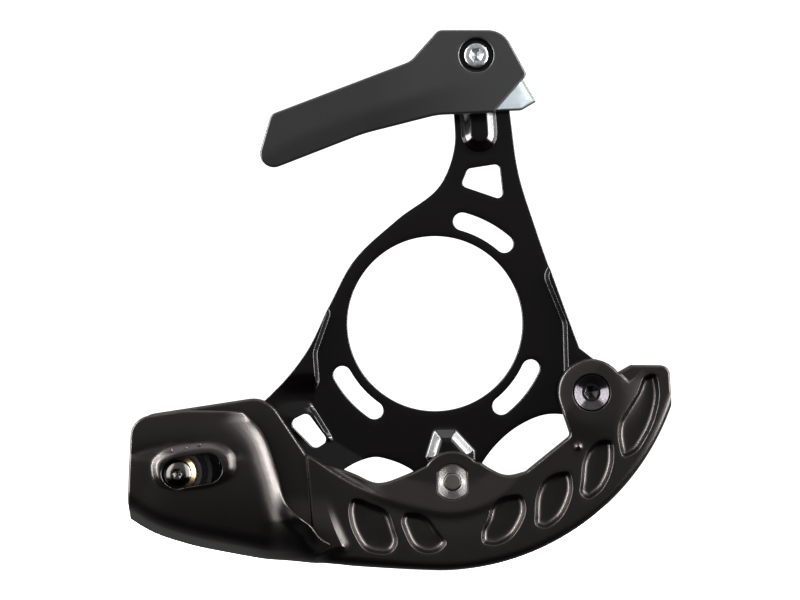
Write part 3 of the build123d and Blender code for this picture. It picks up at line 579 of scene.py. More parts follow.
pockets = [
    evenly(closed_curve(corners), pocket_gap)
    for corners in (
        [(-29.6, -62.2), (-29.5, -66.5), (-27.5, -72.5), (-23.8, -77.4), (-20.0, -78.6), (-15.2, -78.3)]
        + [(-12.9, -75.5), (-13.9, -69.6), (-16.6, -63.6), (-22.0, -61.0), (-26.4, -59.4), (-28.6, -59.8)],
        [(-11.7, -67.0), (-10.6, -71.2), (-7.2, -76.8), (-3.6, -78.5), (1.4, -77.7)]
        + [(3.9, -75.0), (1.3, -70.7), (-3.0, -65.6), (-7.6, -64.2), (-10.6, -64.6)],
        [(19.0, -62.4), (17.8, -66.4), (15.7, -71.2), (16.2, -74.8), (20.0, -75.8), (25.4, -73.7)]
        + [(29.2, -69.0), (31.1, -62.8), (29.6, -58.5), (24.7, -58.4), (20.8, -60.1)],
        [(34.9, -57.0), (33.9, -64.9), (34.2, -68.7), (37.2, -69.9), (42.0, -67.4), (45.6, -61.9)]
        + [(47.1, -55.0), (45.6, -50.4), (41.4, -50.6), (36.9, -53.3)],
        [(50.7, -45.6), (49.6, -53.3), (49.5, -58.2), (52.0, -59.9), (56.2, -57.6), (60.0, -51.1)]
        + [(61.1, -45.1), (60.0, -39.6), (56.2, -39.5), (52.4, -42.4)],
        [(62.7, -33.4), (62.5, -40.7), (64.4, -45.6), (67.6, -44.6), (72.4, -38.4), (75.7, -30.2)]
        + [(76.6, -22.0), (75.0, -16.9), (71.6, -17.5), (68.8, -23.1), (65.4, -28.6)],
    )
]
pocket_wall = dict(height=2.6, crown=1.7, foot=0.35, slope=66)
notch_wall = dict(height=1.0, crown=0.4, foot=0.3, slope=60)
ramp_wall = dict(height=1.0, crown=0.4, foot=0.3, slope=72)
lens_edge = dict(height=2.4, crown=0.7, foot=1.6, slope=58)
lens_broad = dict(height=1.3, crown=9.0, foot=9.0, slope=9)
lens_edge_rows, lens_broad_rows = step_rows(**lens_edge), step_rows(**lens_broad)
band_roll = dict(height=1.5, crown=4.0, foot=0.5, slope=32)
hull_flank = dict(height=10.0, crown=7.0, foot=0.05, slope=62)
pip, pip_height = np.array([48.8, -41.8]), 0.8
crescent_level, crescent_edge = 11.0, 0.8
plain_back, skirt_back = 6.0, 1.5
skirt_wall, crescent_thinnest = 4.0, 0.2
skirt_rows = [skirt_wall - 0.05, skirt_wall + 0.05]
rim_rows = [0.1, 0.3, 0.6, 1.0, 1.5, 2.1, 2.8, 3.6, 4.6]
points, triangles, depth = plan(
    crescent_outline,
    [nut_hole, lug_hole, spacer_slot],
    [beside(crescent_outline, edge_rows(crescent_edge)), beside(crescent_outline, rim_rows)]
    + [beside(hole, -edge_rows(0.35)) for hole in (nut_hole, lug_hole)]
    + [beside(pocket, step_rows(**pocket_wall)) for pocket in pockets]
    + [
        beside(notch_area, step_rows(**notch_wall)),
        beside(ramp_area, step_rows(**ramp_wall)),
        beside(below_lens, lens_edge_rows - lens_edge_rows.max()),
        beside(below_lens, [-9.0, -7.0, -5.0, -3.0, 0.6, 1.4, 2.2, 3.2, 4.4, 6.0]),
        beside(band_area, step_rows(**band_roll)),
        beside(rim_area, skirt_rows),
        *(circle(pip, radius, 24) for radius in (0.3, 0.6, 0.9, 1.2, 1.6, 2.0)),
    ],
    1.1,
)
# The face steps up at the ramp and rolls up to the streak behind the band.
x, z = points.T
on_ramp = step(inside(points, ramp_area), **ramp_wall)
off_band = band_roll["height"] - step(inside(points, band_area), **band_roll)
crest = crescent_level + on_ramp + off_band * ease(-z, 58, 72)
# The lens lies lower: its edge is a broad slope round the nut and a steep one in its rear wedge, with a
# shallow groove along it.
under = inside(points, below_lens)
in_wedge = ease(-x, 14, 26)
edge_share = step(under + lens_edge_rows.max(), **lens_edge) / lens_edge["height"]
broad_share = step(under + lens_broad_rows.max(), **lens_broad) / lens_broad["height"]
lens_share = in_wedge * edge_share + (1 - in_wedge) * broad_share
wedge_depth, wedge_lean = 1.1, 0.12
lens_depth = lens_broad["height"] + in_wedge * (wedge_depth - wedge_lean * np.clip(-under, 0, 6))
groove_at, groove_depth, groove_steep, groove_broad = 2.2, 0.35, 1.5, 4.5
from_groove = under - groove_at
groove_side = np.where(from_groove < 0, groove_steep, groove_broad)
groove = groove_depth * np.exp(-((from_groove / groove_side) ** 2))
groove = groove * ease(x, -26, -16) * (1 - ease(x, 18, 28))
in_ramp = np.clip(on_ramp / ramp_wall["height"], 0, 1)
crescent_front = crest - in_ramp * ((1 - lens_share) * lens_depth + groove)
# The lug stands 1 mm higher up to its notch. The pip is a small bell-shaped rise, and the pockets are sunk.
lug_rise = 1 - ease(np.linalg.norm(points - front_bolt, axis=1), 9, 20)
crescent_front += lug_rise * (notch_wall["height"] - step(inside(points, notch_area), **notch_wall))
crescent_front += pip_height * np.exp(-(np.linalg.norm(points - pip, axis=1) ** 2))
for pocket in pockets:
    crescent_front -= step(inside(points, pocket), **pocket_wall)
low = inside(points, rim_area)


def hull_fall(x, low):
    """How far the lower rim turns in: a round of 3 mm in front, a round and a steep flank at the block."""
    at_block = ease(-x, 30, 75)
    flank = hull_flank["height"] - step(low, **hull_flank)
    return at_block * flank + (1 - at_block) * edge_drop(low, 3.0 + ease(-x, 0, 30))


edge_fall = np.maximum(edge_drop(inside(points, crescent_outline), crescent_edge), edge_drop(depth, 0.2))
crescent_front -= np.maximum(np.minimum(hull_fall(x, low), crescent_front - plain_back), edge_fall)
in_skirt = (low < skirt_wall) & (x > -33)
crescent_back = np.where(in_skirt, skirt_back + 0.1 * ease(-x, 20, 24), plain_back)
crescent_front = np.maximum(crescent_front, crescent_back + crescent_thinnest)
crescent_skin = skin(points, triangles, crescent_front, crescent_back)

# Block: the cheek outside the roller, with a raised boss round its slot and a rolled front lip, and the hull
# that turns in below it
lip_line = smooth_line(
    [(-64.9, -29.6), (-58.9, -36.2), (-53.5, -50.2), (-49.9, -61.2), (-46.5, -64.6), (-42.1, -68.2)]
    + [(-38.7, -72.8), (-34.8, -75.2), (-30.0, -76.0), (-24.0, -77.0)]
)
block_outline = evenly(
    np.vstack(
        [
            hull_line[hull_line[:, 0] < -24.0],
            corner(block_foot, block_corner, block_crest, 7.0),
            [(-85.4, -29.1)],
            smooth_line([(-83.0, -29.0), (-76.0, -29.1), (-69.0, -29.3)]),
            corner((-76.0, -29.2), (-64.9, -29.6), (-58.9, -36.2), 2.0),
            lip_line[6:],
        ]
    ),
    outline_gap,
)
button_slot_width = 10.1
button_slot = evenly(slot(slot_middle, pulley_travel, button_slot_width, pulley_lean), 0.45)
inside_lip = evenly(np.vstack([lip_line, [(-24, -140), (-150, -140), (-150, 10), (-77, -16.3)]]), area_gap)
# The boss's outline lies between an ellipse and a rectangle: powers of cosine and sine, turned by a lean.
boss_middle, boss_lean, boss_power = np.array([-81.2, -47.7]), 7.5, 2 / 2.6
boss_half_size = np.array([14.9, 8.1])
unit = circle((0, 0), 1, 160)
boss_axes = around((0, 0), 1, boss_lean, boss_lean + 90, 2)
boss = boss_middle + (boss_half_size * np.sign(unit) * np.abs(unit) ** boss_power) @ boss_axes
boss_wall = dict(height=1.9, crown=2.4, foot=1.4, slope=42)
index_dots, dot_radius = [(-88.8, -42.5), (-83.9, -41.7), (-79.5, -40.6)], 0.6
dot_rows = [circle(dot, radius, 20) for dot in index_dots for radius in (0.1, 0.3, 0.45, 0.6, 0.75)]
lip_radius = 12.0
points, triangles, depth = plan(
    block_outline,
    [button_slot],
    [
        beside(block_outline, edge_rows(1.0)),
        beside(rim_area, [0.15, 0.35, 0.7, 1.2, 1.8, 2.6, 3.5, 4.4, 5.2, 6.0, 6.8, 7.6, 8.6]),
        beside(button_slot, -edge_rows(0.6)),
        beside(boss, step_rows(**boss_wall)),
        beside(block_outline, skirt_rows),
        *dot_rows,
    ],
    0.9,
)
x, z = points.T
low = inside(points, rim_area)
# Behind the band the face climbs a slope to the cheek, with softened corners, and the cheek is crowned.
slope_start, slope_foot, slope_rise, slope_soft = -31.3, 12.0, 0.93, 1.3
cheek_level, cheek_soft, block_limit = 24.3, 1.2, 25.95
slope_level = slope_foot + slope_rise * slope_soft * np.logaddexp(0, (slope_start - x) / slope_soft)
face_level = cheek_level - np.logaddexp(0, (cheek_level - slope_level) / cheek_soft) * cheek_soft
crown_line, bend_below, bend_above = 31, 0.0082, 0.004
bulge = 0.5 * bend_below * np.clip(crown_line - low, 0, None) ** 2 * ease(-x, 26, 36)
bulge += 0.5 * bend_above * np.clip(low - crown_line, 0, None) ** 2
# The front lip rolls in over an arc, and its tail falls away towards the crescent.
lip_narrow, lip_widening = 2.5, 6.9
lip_reach = (lip_narrow + lip_widening * ease(-x, 42, 54)) * ease(-z, 22, 33)
in_lip = inside(points, inside_lip)
lip_short = np.clip(lip_reach - in_lip, 0, lip_reach)
lip_fall = lip_radius - np.sqrt(lip_radius**2 - lip_short**2)
tail_fall = 0.8 * np.clip(in_lip, 0, 5) * ease(x, -57, -42) * ease(-z, 58, 66)
tail_fall += 0.3 * np.clip(-z - 66, 0, 12) * ease(x, -60, -50) * (1 - ease(x, -48, -40))
plain = face_level - bulge - lip_fall - tail_fall - hull_fall(x, low)
# A shallow valley runs above the boss, and the three dots of the size marks are pressed in beside the slot.
dots = sum(np.clip(1 - np.hypot(x - at_x, z - at_z) / dot_radius, 0, 1) ** 0.5 for at_x, at_z in index_dots)
valley_line = smooth_line(
    [(-104, -44.4), (-95.8, -41.7), (-88.0, -40.4), (-80.2, -39.9), (-73.4, -40.9), (-66.7, -43.7)]
)
valley_area = evenly(np.vstack([valley_line, [(-66.7, -46), (-104, -46)]]), pocket_gap)
valley_depth, dot_depth = 0.4, 0.3
valley = valley_depth * np.exp(-np.abs(inside(points, valley_area)) / 2.5) * ease(z, -46, -44)
on_boss = step(inside(points, boss) * (1 - 0.28 * ease(x, -77, -70)), **boss_wall)
block_front = plain - valley + on_boss - dot_depth * dots - edge_drop(depth, 0.7) * (low > 1.0)
block_front = np.minimum(block_front, block_limit)
cheek_back, cheek_wall, block_thinnest = 22.2, 2.2, 0.3
block_back = np.where(low < skirt_wall, skirt_back, np.minimum(cheek_back, plain - cheek_wall))
block_skin = skin(points, triangles, np.maximum(block_front, block_back + block_thinnest), block_back)


def two_tones(tree, shader, place, patch, first, second):
    """Colour that drifts between two tones with a noise whose patches have a size in millimetres."""
    noise = {"Scale": 1000 / patch, "Detail": 2.0}
    cloud = add_node(tree, "ShaderNodeTexNoise", noise, {"Vector": place})
    tones = {"data_type": "RGBA", "A": linear(first), "B": linear(second)}
    mixed = add_node(tree, "ShaderNodeMix", tones, {"Factor": cloud.outputs["Fac"]})
    tree.links.new(mixed.outputs["Result"], shader.inputs["Base Color"])
    return mixed.outputs["Result"]


# Glass-filled nylon, moulded in a finely sparked tool: near black, satin, with a grain that breaks up the
# highlights. The grain is about 0.2 mm in the tool and is drawn at 0.35 mm so that it shows.
moulded_nylon, finish = finish_material(
    "glass_filled_nylon_black_moulded", {"Specular Tint": linear("#fff5f1"), "Specular IOR Level": 0.8}
)
two_tones(*finish, patch=18, first="#020202", second="#050404")
cloud_roughness(*finish, patch=0.35, detail=2.0, smooth=0.31, rough=0.38)
surface_grain(*finish, size=0.35, strength=0.07, height=0.2)
make_piece("skid_moulded", [crescent_skin, block_skin], moulded_nylon, "frame", "skid")

# Front screw
# Black M6 countersunk screw of quenched steel. It goes through a steel sleeve in the skid's lug into a thin
# nut behind the backplate.
def hexagon(centre, across_flats, lean=0.0):
    """Outline of a hexagon: six points on a circle of its size across flats over the root of three."""
    return around(centre, across_flats / math.sqrt(3), lean, lean + 300, 6)


def fastener_skin(centre, radius, front, back, socket=None, rows=(), outline=None, holes=()):
    """Closed skin of a turned piece: each level is a function of the distance from the axis and from the rim.

    The socket is a hexagon outline, its depth and the side it is on, "front" or "back".
    """
    rim = evenly(circle(centre, radius, 128), 0.25) if outline is None else outline
    drawn = [circle(centre, row, 96) for row in rows]
    drawn.append(beside(rim, [0.05, 0.12, 0.22, 0.35, 0.5]))
    lead, lead_bend, taper = 0.25, 1.6, 0.6
    if socket is not None:
        key, socket_depth, side = evenly(socket[0], 0.2), *socket[1:]
        drawn.append(beside(key, [-lead, -0.12, -0.02, 0.02, 0.1]))
    points, triangles, depth = plan(rim, holes, drawn, 0.45)
    away = np.linalg.norm(points - centre, axis=1)
    front_level, back_level = front(away, depth), back(away, depth)
    if socket is not None:
        within = inside(points, key)
        led_in = lead_bend * np.clip(within + lead, 0, lead) ** 2
        cut = np.where(within > 0, socket_depth + taper * within, led_in)
        if side == "front":
            front_level = front_level - cut
        else:
            back_level = back_level + cut
    return skin(points, triangles, front_level, back_level)


# The head is a cone from the shank outwards, and its face is dished down to the socket.
m6_shank = 3.0
front_head, front_face, front_end = 6.05, 12.9, -0.2
dish, dish_width, cone_foot, cone_end = 0.66, 2.85, 7.6, 10.6
front_screw_skin = fastener_skin(
    front_bolt,
    front_head,
    lambda away, depth: (
        front_face - edge_drop(depth, 0.2) - dish * np.clip(front_head - away, 0, dish_width)
    ),
    lambda away, depth: np.where(
        away < m6_shank, front_end, np.minimum(cone_foot + away - m6_shank, cone_end)
    ),
    (hexagon(front_bolt, 4.0, 12), 2.2, "front"),
    (2.99, 3.01, 3.19, 3.25, 3.6, 4.2, 4.8, 5.3),
)


def lathe_rings(tree, shader, place, axis, spacing, wobble, height):
    """Turned grooves: rings round an axis bend the normal, with a spacing and a height in millimetres.

    At scale 1 the wave repeats every 2 pi / 20 metres.
    """
    to_axis = {"Location": (-axis[0] / 1000, 0, -axis[1] / 1000)}
    shift = add_node(tree, "ShaderNodeMapping", to_axis, {"Vector": place})
    wave = {"wave_type": "RINGS", "rings_direction": "Y", "Scale": 2 * math.pi / 20 * 1000 / spacing}
    wave |= {"Distortion": wobble, "Detail": 1.0}
    rings = add_node(tree, "ShaderNodeTexWave", wave, {"Vector": shift.outputs["Vector"]})
    relief = {"Strength": 1.0, "Distance": height / 1000}
    bump = add_node(tree, "ShaderNodeBump", relief, {"Height": rings.outputs["Fac"]})
    tree.links.new(bump.outputs["Normal"], shader.inputs["Normal"])


# Black-oxide steel, turned and oil-dipped: near black, with fine lathe rings that draw two opposite glints.
# The rings are about 0.1 mm apart and are drawn at 0.25 mm.
oxide_steel, finish = finish_material(
    "black_oxide_steel_turned", {"Base Color": linear("#403e40"), "Metallic": 0.9}
)
lathe_rings(*finish, front_bolt, spacing=0.25, wobble=0.6, height=0.012)
cloud_roughness(*finish, patch=1.5, detail=3.0, smooth=0.15, rough=0.26)
make_piece("front_screw", [front_screw_skin], oxide_steel, "frame", "front_bolt")

# Zinc-plated steel of the sleeve, the hidden nuts and the guide's screw: silver grey, clouded in patches of
# about 1.2 mm where the crystals of the plating differ.
plated_steel, (tree, shader, place) = finish_material(
    "zinc_plated_steel_pressed", {"Base Color": linear("#b9bbbd"), "Metallic": 1.0}
)
crystal_patch = 1.2
cloud = add_node(tree, "ShaderNodeTexVoronoi", {"Scale": 1000 / crystal_patch}, {"Vector": place})
rough = add_node(
    tree, "ShaderNodeMapRange", {"To Min": 0.26, "To Max": 0.42}, {"Value": cloud.outputs["Distance"]}
)
tree.links.new(rough.outputs["Result"], shader.inputs["Roughness"])


def finish_node(material, *names):
    """Give CAD nodes whose shape is kept the material of the real piece."""
    for name in names:
        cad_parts[name].data.materials.clear()
        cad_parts[name].data.materials.append(material)


finish_node(plated_steel, "front_sleeve", "front_nut")

# Middle screw and nut
# M6 button screw driven from behind, into a flat-sided nut let into the skid's tab. Both are stainless steel:
# the screw is cold headed, and the nut's face is turned.
nut_radius, nut_bore, nut_face, nut_back = 6.2, 3.12, 10.0, 6.4
nut_skin = fastener_skin(
    middle_bolt,
    nut_radius,
    lambda away, depth: nut_face - edge_drop(depth, 0.2) * (away > 4.5),
    lambda away, depth: np.full(len(away), nut_back),
    rows=(3.4, 3.8, 5.0, 5.6),
    outline=evenly(flat_sided(middle_bolt, nut_radius, 34.65), 0.3),
    holes=[evenly(circle(middle_bolt, nut_bore), 0.25)],
)
middle_head, middle_end, middle_seat, middle_top, middle_dome = 5.25, 9.9, 3.0, 0.1, 1.9
middle_screw_skin = fastener_skin(
    middle_bolt,
    middle_head,
    lambda away, depth: np.where(
        away < m6_shank, middle_end - edge_drop(m6_shank - away, 0.5), middle_seat
    ),
    lambda away, depth: middle_top + edge_drop(depth, middle_dome),
    (hexagon(middle_bolt, 4.0), 2.2, "back"),
    (2.4, 2.6, 2.8, 2.99, 3.01, 4.0, 4.5),
)
# Stainless steel, faced on a lathe: bright silver with concentric tool marks, so the light runs out along two
# opposite rays. The marks are about 0.1 mm apart and are drawn at 0.3 mm.
turned_steel, finish = finish_material(
    "stainless_steel_turned", {"Base Color": linear("#a8a4a2"), "Metallic": 1.0, "Roughness": 0.22}
)
lathe_rings(*finish, middle_bolt, spacing=0.3, wobble=0.5, height=0.05)
make_piece("middle_nut_flat_sided", [nut_skin], turned_steel, "frame", "middle_nut")
# Stainless steel, cold headed: a duller, warmer grey than the turned face, with the smear of the die.
headed_steel, finish = finish_material(
    "stainless_steel_cold_headed", {"Base Color": linear("#8f8a87"), "Metallic": 1.0}
)
cloud_roughness(*finish, patch=2, detail=3.0, smooth=0.28, rough=0.4)
make_piece("middle_screw", [middle_screw_skin], headed_steel, "frame", "middle_bolt")

# Pulley
# Chain roller: a tyre of cast polyurethane on a shielded ball bearing. The bearing is pressed in, and the
# roller turns between the backplate and the cheek.

# Cast polyurethane: a rubbery black that the chain has scuffed to a dull sheen.
cast_polyurethane, finish = finish_material("polyurethane_black_cast", {"Base Color": linear("#1a1a1b")})
cloud_roughness(*finish, patch=2, detail=4.0, smooth=0.38, rough=0.58)
finish_node(cast_polyurethane, "pulley_wheel")
# Ground bearing steel: bright and smooth, with the very fine scratches of grinding.
ground_steel, finish = finish_material(
    "bearing_steel_ground", {"Base Color": linear("#c9cacc"), "Metallic": 1.0}
)
cloud_roughness(*finish, patch=0.8, detail=3.0, smooth=0.14, rough=0.26)
finish_node(ground_steel, "bearing_inner_race", "bearing_balls", "bearing_cage")
# The outer race takes the near-black oxide steel, not the ground steel, as painted shade for where it lies
# deep behind the cheek.
finish_node(oxide_steel, "bearing_outer_race")
# Blued spring steel of the two shields: a dark violet grey from the tempering.
blued_steel, finish = finish_material(
    "spring_steel_blued", {"Base Color": linear("#8a858c"), "Metallic": 1.0}
)
cloud_roughness(*finish, patch=3, detail=2.0, smooth=0.3, rough=0.42)
finish_node(blued_steel, "bearing_shield_rear", "bearing_shield_front")

# Pulley screw
# Black M5 button screw that clamps the roller: it goes through a gold anodised sleeve, the bearing and a
# spacer into a flanged nut behind the slot in the backplate's rear lobe.
m5_shank = 2.5
pulley_head, pulley_seat, pulley_end = 4.75, 22.3, -1.66
dome, dome_top, dome_edge = 7.2, 25.05, 7.8
pulley_screw_skin = fastener_skin(
    pulley_axis,
    pulley_head,
    lambda away, depth: dome_top - edge_drop(dome_edge - away, dome) - edge_drop(depth, 0.4),
    lambda away, depth: np.where(away < m5_shank, pulley_end, pulley_seat),
    (hexagon(pulley_axis, 3.0), 2.0, "front"),
    (2.49, 2.51, 3.0, 3.5, 4.0),
)
# Polished black-oxide steel: a domed head that mirrors the lamps.
polished_oxide, finish = finish_material(
    "black_oxide_steel_polished", {"Base Color": linear("#6b6866"), "Metallic": 1.0}
)
cloud_roughness(*finish, patch=1, detail=3.0, smooth=0.12, rough=0.24)
make_piece(
    "pulley_screw", [pulley_screw_skin], polished_oxide, "pulley_carrier", "pulley_bolt"
)
# Gold anodised aluminium, turned: warm and bright, with soft lathe lines.
gold_sleeve, finish = finish_material(
    "anodised_aluminium_gold_turned", {"Base Color": linear("#cdb48f"), "Metallic": 1.0}
)
cloud_roughness(*finish, patch=0.7, detail=3.0, smooth=0.2, rough=0.34)
sleeve_low, sleeve_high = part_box("pulley_sleeve")
sleeve_front, sleeve_back = -1000 * sleeve_low[1], -1000 * sleeve_high[1]
sleeve_tube, sleeve_flange, sleeve_flat = 3.95, 1.3, 4.2
sleeve_radius, sleeve_bore = 6.3, 2.55
sleeve_skin = fastener_skin(
    pulley_axis,
    sleeve_radius,
    lambda away, depth: (
        sleeve_front - 0.5 * np.clip(away - sleeve_flat, 0, None) - edge_drop(depth, 0.2)
    ),
    lambda away, depth: np.where(away < sleeve_tube, sleeve_back, sleeve_front - sleeve_flange),
    rows=(3.94, 3.96, 4.2, 4.8, 5.4),
    holes=[evenly(circle(pulley_axis, sleeve_bore), 0.3)],
)
make_piece(
    "pulley_sleeve_flanged", [sleeve_skin], gold_sleeve, "pulley_carrier", "pulley_sleeve"
)
finish_node(plated_steel, "pulley_spacer", "pulley_nut")

# Upper guide, inner cheek
# Moulded from polycarbonate with a pale tint: the chain rubs on it. Two shoes on its back run along the rail,
# and the screw holds it between the arm and the outer cheek.
tail = [(-13.0, -19.9), (-38.0, -26.1), (-75.2, -40.6)]
tail += [(-69.0, -19.9), (-22.2, -2.1), (-12.8, 8.4), (8.9, 8.4)]
tail_rounds = [25.0, 60.0, 4.5, 3.0, 7.0, 3.0, 8.5]
inner_corners = guide_bolt + [(16.4, -18.6), *tail, (22.7, -14.9)]
inner_whole = evenly(rounded(inner_corners, [3.5, *tail_rounds, 1.5]), 0.5)
inner_inset, screw_hole_radius, bore_radius = 1.4, 2.7, 5.8
inner_outline = evenly(beside(inner_whole, [inner_inset]), outline_gap)
screw_hole = evenly(circle(guide_bolt, screw_hole_radius), 0.35)
shoe_corners, shoe_offset = np.array([(-16, -1), (-16, 1), (0, 1), (0, -1)]), 7.36
rail_axes = np.array([rail_along, rail_across])
shoes = [
    evenly(guide_bolt + (shoe_corners + (0, side * shoe_offset)) @ rail_axes, hole_gap) for side in (-1, 1)
]
inner_level, inner_back, shoe_back, inner_edge, rim_step = 11.2, 6.06, 3.06, 0.6, 0.5
points, triangles, depth = plan(
    inner_outline,
    [screw_hole],
    [beside(inner_outline, edge_rows(inner_edge)), beside(inner_outline, [0.9, 1.2, 1.6, 2.0])]
    + [beside(shoe, [-0.02, 0.02]) for shoe in shoes],
    1.5,
)
on_shoe = np.maximum.reduce([inside(points, shoe) for shoe in shoes]) > 0
inner_skin = skin(
    points,
    triangles,
    inner_level - edge_drop(depth, inner_edge) - rim_step * ease(-depth, -2.0, -0.9),
    np.where(on_shoe, shoe_back, inner_back),
)
# Tinted polycarbonate, moulded: glossy and pale with a faint haze. A dark grey mixed into the base colour
# along its rim is painted shade, for the dark look of the edge where it is seen through edge on. How much
# of it each point takes is an attribute 'rim' of the mesh.
pale_polycarbonate, finish = finish_material("polycarbonate_pale_moulded", {"Roughness": 0.28, "IOR": 1.58})
tint = two_tones(*finish, patch=6, first="#a9b2b6", second="#b4bcc0")
tree, shader, _ = finish
rim = add_node(tree, "ShaderNodeAttribute", {"attribute_name": "rim"}).outputs["Fac"]
# Painted shade: the dark grey that the rim attribute mixes into the pale base colour.
dark = {"data_type": "RGBA", "B": linear("#2b3134")}
tint_with_painted_rim_shade = add_node(tree, "ShaderNodeMix", dark, {"Factor": rim, "A": tint})
tree.links.new(tint_with_painted_rim_shade.outputs["Result"], shader.inputs["Base Color"])
inner_cheek = make_piece(
    "upper_guide_inner_cheek",
    [inner_skin],
    pale_polycarbonate,
    "upper_guide",
    "upper_guide_inner",
)
# Painted shade along the rim: full at the edge, gone by 0.9 mm inside it.
painted_rim_shade_share = np.tile(1 - ease(depth, 0.1, 0.9), 2)
inner_cheek.data.attributes.new("rim", "FLOAT", "POINT").data.foreach_set("value", painted_rim_shade_share)

# Upper guide, outer cheek
# Moulded from charcoal nylon with a dead matt texture. Its bridge spans the chain and meets the inner cheek,
# and a counterbore takes the screw that clamps both to the arm.
outer_corners = guide_bolt + [(5.9, -19.2), *tail, (17.0, -6.6)]
outer_outline = evenly(rounded(outer_corners, [0.8, *tail_rounds, 1.5]), 0.5)
chain_circle = 86.9
bridge_rear = guide_bolt[0] - 20.0
bore = evenly(circle(guide_bolt, bore_radius), 0.35)
crease = [(-80.0, -37.0), (-62.0, -27.2), (-30.0, -15.0), (-8.0, -8.5), (18.0, -7.5)]
below_crease = [(40, -10), (40, -70), (-110, -70), (-110, -45)]
crease_area = evenly(np.vstack([smooth_line(guide_bolt + crease), guide_bolt + below_crease]), 0.6)
outer_level, outer_back, fold_back, bore_floor, outer_edge = 24.3, 20.8, 22.2, 19.3, 0.7
points, triangles, depth = plan(
    outer_outline,
    [screw_hole],
    [
        beside(outer_outline, edge_rows(outer_edge)),
        beside(outer_outline, [0.77, 0.83]),
        beside(bore, [-0.45, -0.3, -0.15, -0.02, 0.02]),
        *(around((0, 0), chain_circle + side, 60, 130, 260) for side in (-0.03, 0.03)),
        *(
            np.column_stack([np.full(80, bridge_rear + side), np.linspace(70, 110, 80)])
            for side in (-0.03, 0.03)
        ),
    ],
    1.1,
)
from_centre = np.linalg.norm(points, axis=1)
within_outline = inside(points, outer_outline)
in_bridge = (within_outline > 0.8) & (from_centre > chain_circle) & (points[:, 0] > bridge_rear)
in_bore = inside(points, bore)
# Below the crease the cheek bends over an arc and then leans in. The tail leans in a little more.
lower_half = np.clip(inside(points, crease_area), 0, None)
bend, bend_width = 0.05, 3.5
fold = 0.5 * bend * np.minimum(lower_half, bend_width) ** 2
fold += bend * bend_width * np.clip(lower_half - bend_width, 0, None)
tail_top, tail_down, tail_lean = guide_bolt - (22.2, 2.1), np.array([0.355, -0.935]), 0.1
fold += tail_lean * np.clip((points - tail_top) @ tail_down, 0, None) * ease(-points[:, 0], 0, 25)
outer_front = outer_level - fold * ease(-points[:, 0], -22, 10) - edge_drop(depth, outer_edge)
outer_front = np.where(in_bore > 0, bore_floor, outer_front - np.clip(in_bore + 0.45, 0, 0.45) ** 2)
outer_rear = np.where(in_bridge, inner_level, np.minimum(outer_back, fold_back - fold))
outer_skin = skin(points, triangles, outer_front, outer_rear)
# Charcoal nylon, moulded in an etched tool: dead matt and even, so that the fold shows only as two greys.
# The etching is about 0.1 mm fine and is drawn at 0.3 mm.
matt_nylon, finish = finish_material(
    "nylon_charcoal_moulded_matt", {"Roughness": 0.42, "Specular IOR Level": 0.9}
)
two_tones(*finish, patch=15, first="#0b0b0c", second="#0f0f10")
surface_grain(*finish, size=0.3, strength=0.2, height=0.1)
make_piece(
    "upper_guide_outer_cheek", [outer_skin], matt_nylon, "upper_guide", "upper_guide_outer"
)

# Upper guide screw
# Bright zinc-plated M5 screw with a low head, on a black washer in the counterbore. It goes through both
# cheeks and the arm's slot into a square nut that slides in the rail.
guide_head, guide_face, guide_round, guide_seat, guide_end = 4.25, 23.8, 0.9, 20.3, 0.24
guide_screw_skin = fastener_skin(
    guide_bolt,
    guide_head,
    lambda away, depth: guide_face - edge_drop(depth, guide_round),
    lambda away, depth: np.where(away < m5_shank, guide_end, guide_seat),
    (hexagon(guide_bolt, 4.0, 10), 2.2, "front"),
    (2.49, 2.51, 3.2, 3.7),
)
make_piece(
    "upper_guide_screw", [guide_screw_skin], plated_steel, "upper_guide", "upper_guide_bolt"
)
finish_node(anodised_plate, "upper_guide_washer")
finish_node(plated_steel, "upper_guide_nut")

# Studio
# Plain white room with a pale floor, a soft box with a brighter strip in it at each side and a weak box
# overhead. The camera looks straight at the outboard side.
scene = bpy.context.scene
scene.view_settings.view_transform = "Standard"
scene.view_settings.exposure = 0.35
scene.view_settings.gamma = 0.85
camera_data = bpy.data.cameras.new("camera")
camera_data.sensor_width = 36
image_width, focal_pixels = 800, 2310
camera_data.lens = camera_data.sensor_width * focal_pixels / image_width
camera = bpy.data.objects.new("camera", camera_data)
camera.location = (-0.01204, -0.8, 0.00818)
camera.rotation_euler = (math.radians(90), 0, 0)
scene.collection.objects.link(camera)
scene.camera = camera

# Pale painted board, lit evenly so that it goes over into the white room behind it.
floor_paint, (tree, shader, place) = finish_material(
    "painted_board_pale",
    {"Base Color": linear("#f4f4f2"), "Roughness": 0.9, "Emission Color": linear("#ffffff")},
)
mottle_patch = 20
noise = {"Scale": 1000 / mottle_patch, "Detail": 2.0}
mottle = add_node(tree, "ShaderNodeTexNoise", noise, {"Vector": place})
paint = add_node(
    tree, "ShaderNodeMapRange", {"To Min": 0.93, "To Max": 0.97}, {"Value": mottle.outputs["Fac"]}
)
tree.links.new(paint.outputs["Result"], shader.inputs["Emission Strength"])
floor_level = cad_box[0][2] - 0.0005
floor_corners = [(-0.4, -0.25), (0.4, -0.25), (0.4, 0.25), (-0.4, 0.25)]
floor_mesh = bpy.data.meshes.new("floor")
floor_mesh.from_pydata([(x, y, floor_level) for x, y in floor_corners], [], [(0, 1, 2, 3)])
floor_mesh.materials.append(floor_paint)
floor = bpy.data.objects.new("floor", floor_mesh)
floor.visible_diffuse = False
floor.visible_glossy = False
scene.collection.objects.link(floor)

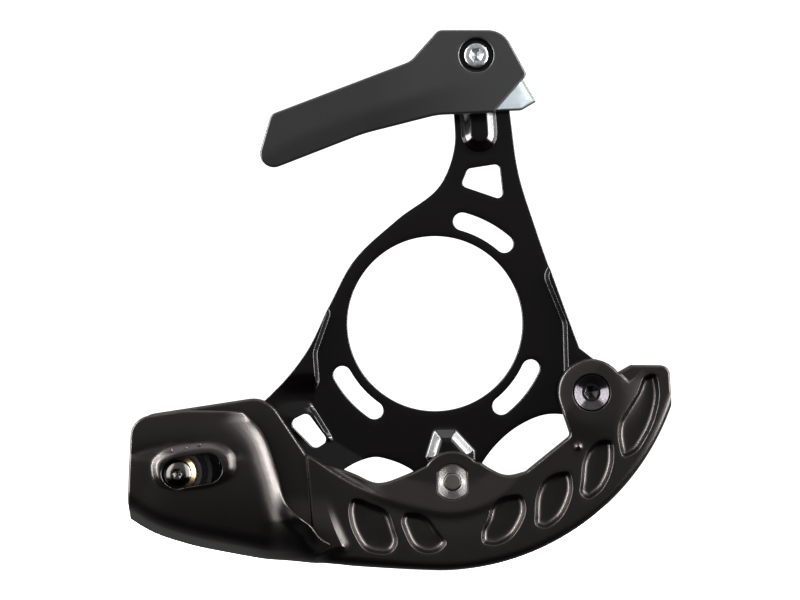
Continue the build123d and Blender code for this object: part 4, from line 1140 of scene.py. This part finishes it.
# The guide is lit by a dim room that is brighter behind it and above it. The camera sees plain white.
world = bpy.data.worlds.new("white_room")
world.use_nodes = True
scene.world = world
tree = world.node_tree
tree.nodes.clear()
direction = add_node(tree, "ShaderNodeTexCoord").outputs["Generated"]
split = add_node(tree, "ShaderNodeSeparateXYZ", links={"Vector": direction})
behind = add_node(
    tree,
    "ShaderNodeMapRange",
    {"From Min": -0.35, "From Max": 0.6, "To Min": 0.0, "To Max": 0.3},
    {"Value": split.outputs["Y"]},
)
above = add_node(
    tree,
    "ShaderNodeMapRange",
    {"From Min": -0.25, "From Max": 0.25, "To Min": 0.0, "To Max": 0.4},
    {"Value": split.outputs["Z"]},
)
brighter = {0: behind.outputs["Result"], 1: above.outputs["Result"]}
glow = add_node(tree, "ShaderNodeMath", {"operation": "MAXIMUM"}, brighter)
white = linear("#ffffff")
room = add_node(tree, "ShaderNodeBackground", {"Color": white}, {"Strength": glow.outputs["Value"]})
backdrop = add_node(tree, "ShaderNodeBackground", {"Color": white, "Strength": 1.0})
seen = add_node(tree, "ShaderNodeLightPath").outputs["Is Camera Ray"]
either = {"Fac": seen, 1: room.outputs["Background"], 2: backdrop.outputs["Background"]}
mixed = add_node(tree, "ShaderNodeMixShader", links=either)
add_node(tree, "ShaderNodeOutputWorld", links={"Surface": mixed.outputs["Shader"]})

for name, place_at, size, watts in (
    ("box_left", (-0.88, -0.47, 0.2), (1.2, 1.2), 14),
    ("box_right", (0.88, -0.47, 0.2), (1.2, 1.2), 14),
    ("strip_left", (-0.9, -0.35, 0.15), (0.2, 1.2), 18),
    ("strip_right", (0.9, -0.35, 0.15), (0.2, 1.2), 18),
    ("box_overhead", (0.0, -0.15, 1.0), (1.2, 0.6), 4),
):
    lamp = bpy.data.lights.new(name, "AREA")
    lamp.shape = "RECTANGLE"
    lamp.size, lamp.size_y = size
    lamp.energy = watts
    lamp_object = bpy.data.objects.new(name, lamp)
    lamp_object.location = place_at
    lamp_object.rotation_euler = (-Vector(place_at)).to_track_quat("-Z", "Y").to_euler()
    lamp_object.visible_camera = False
    scene.collection.objects.link(lamp_object)
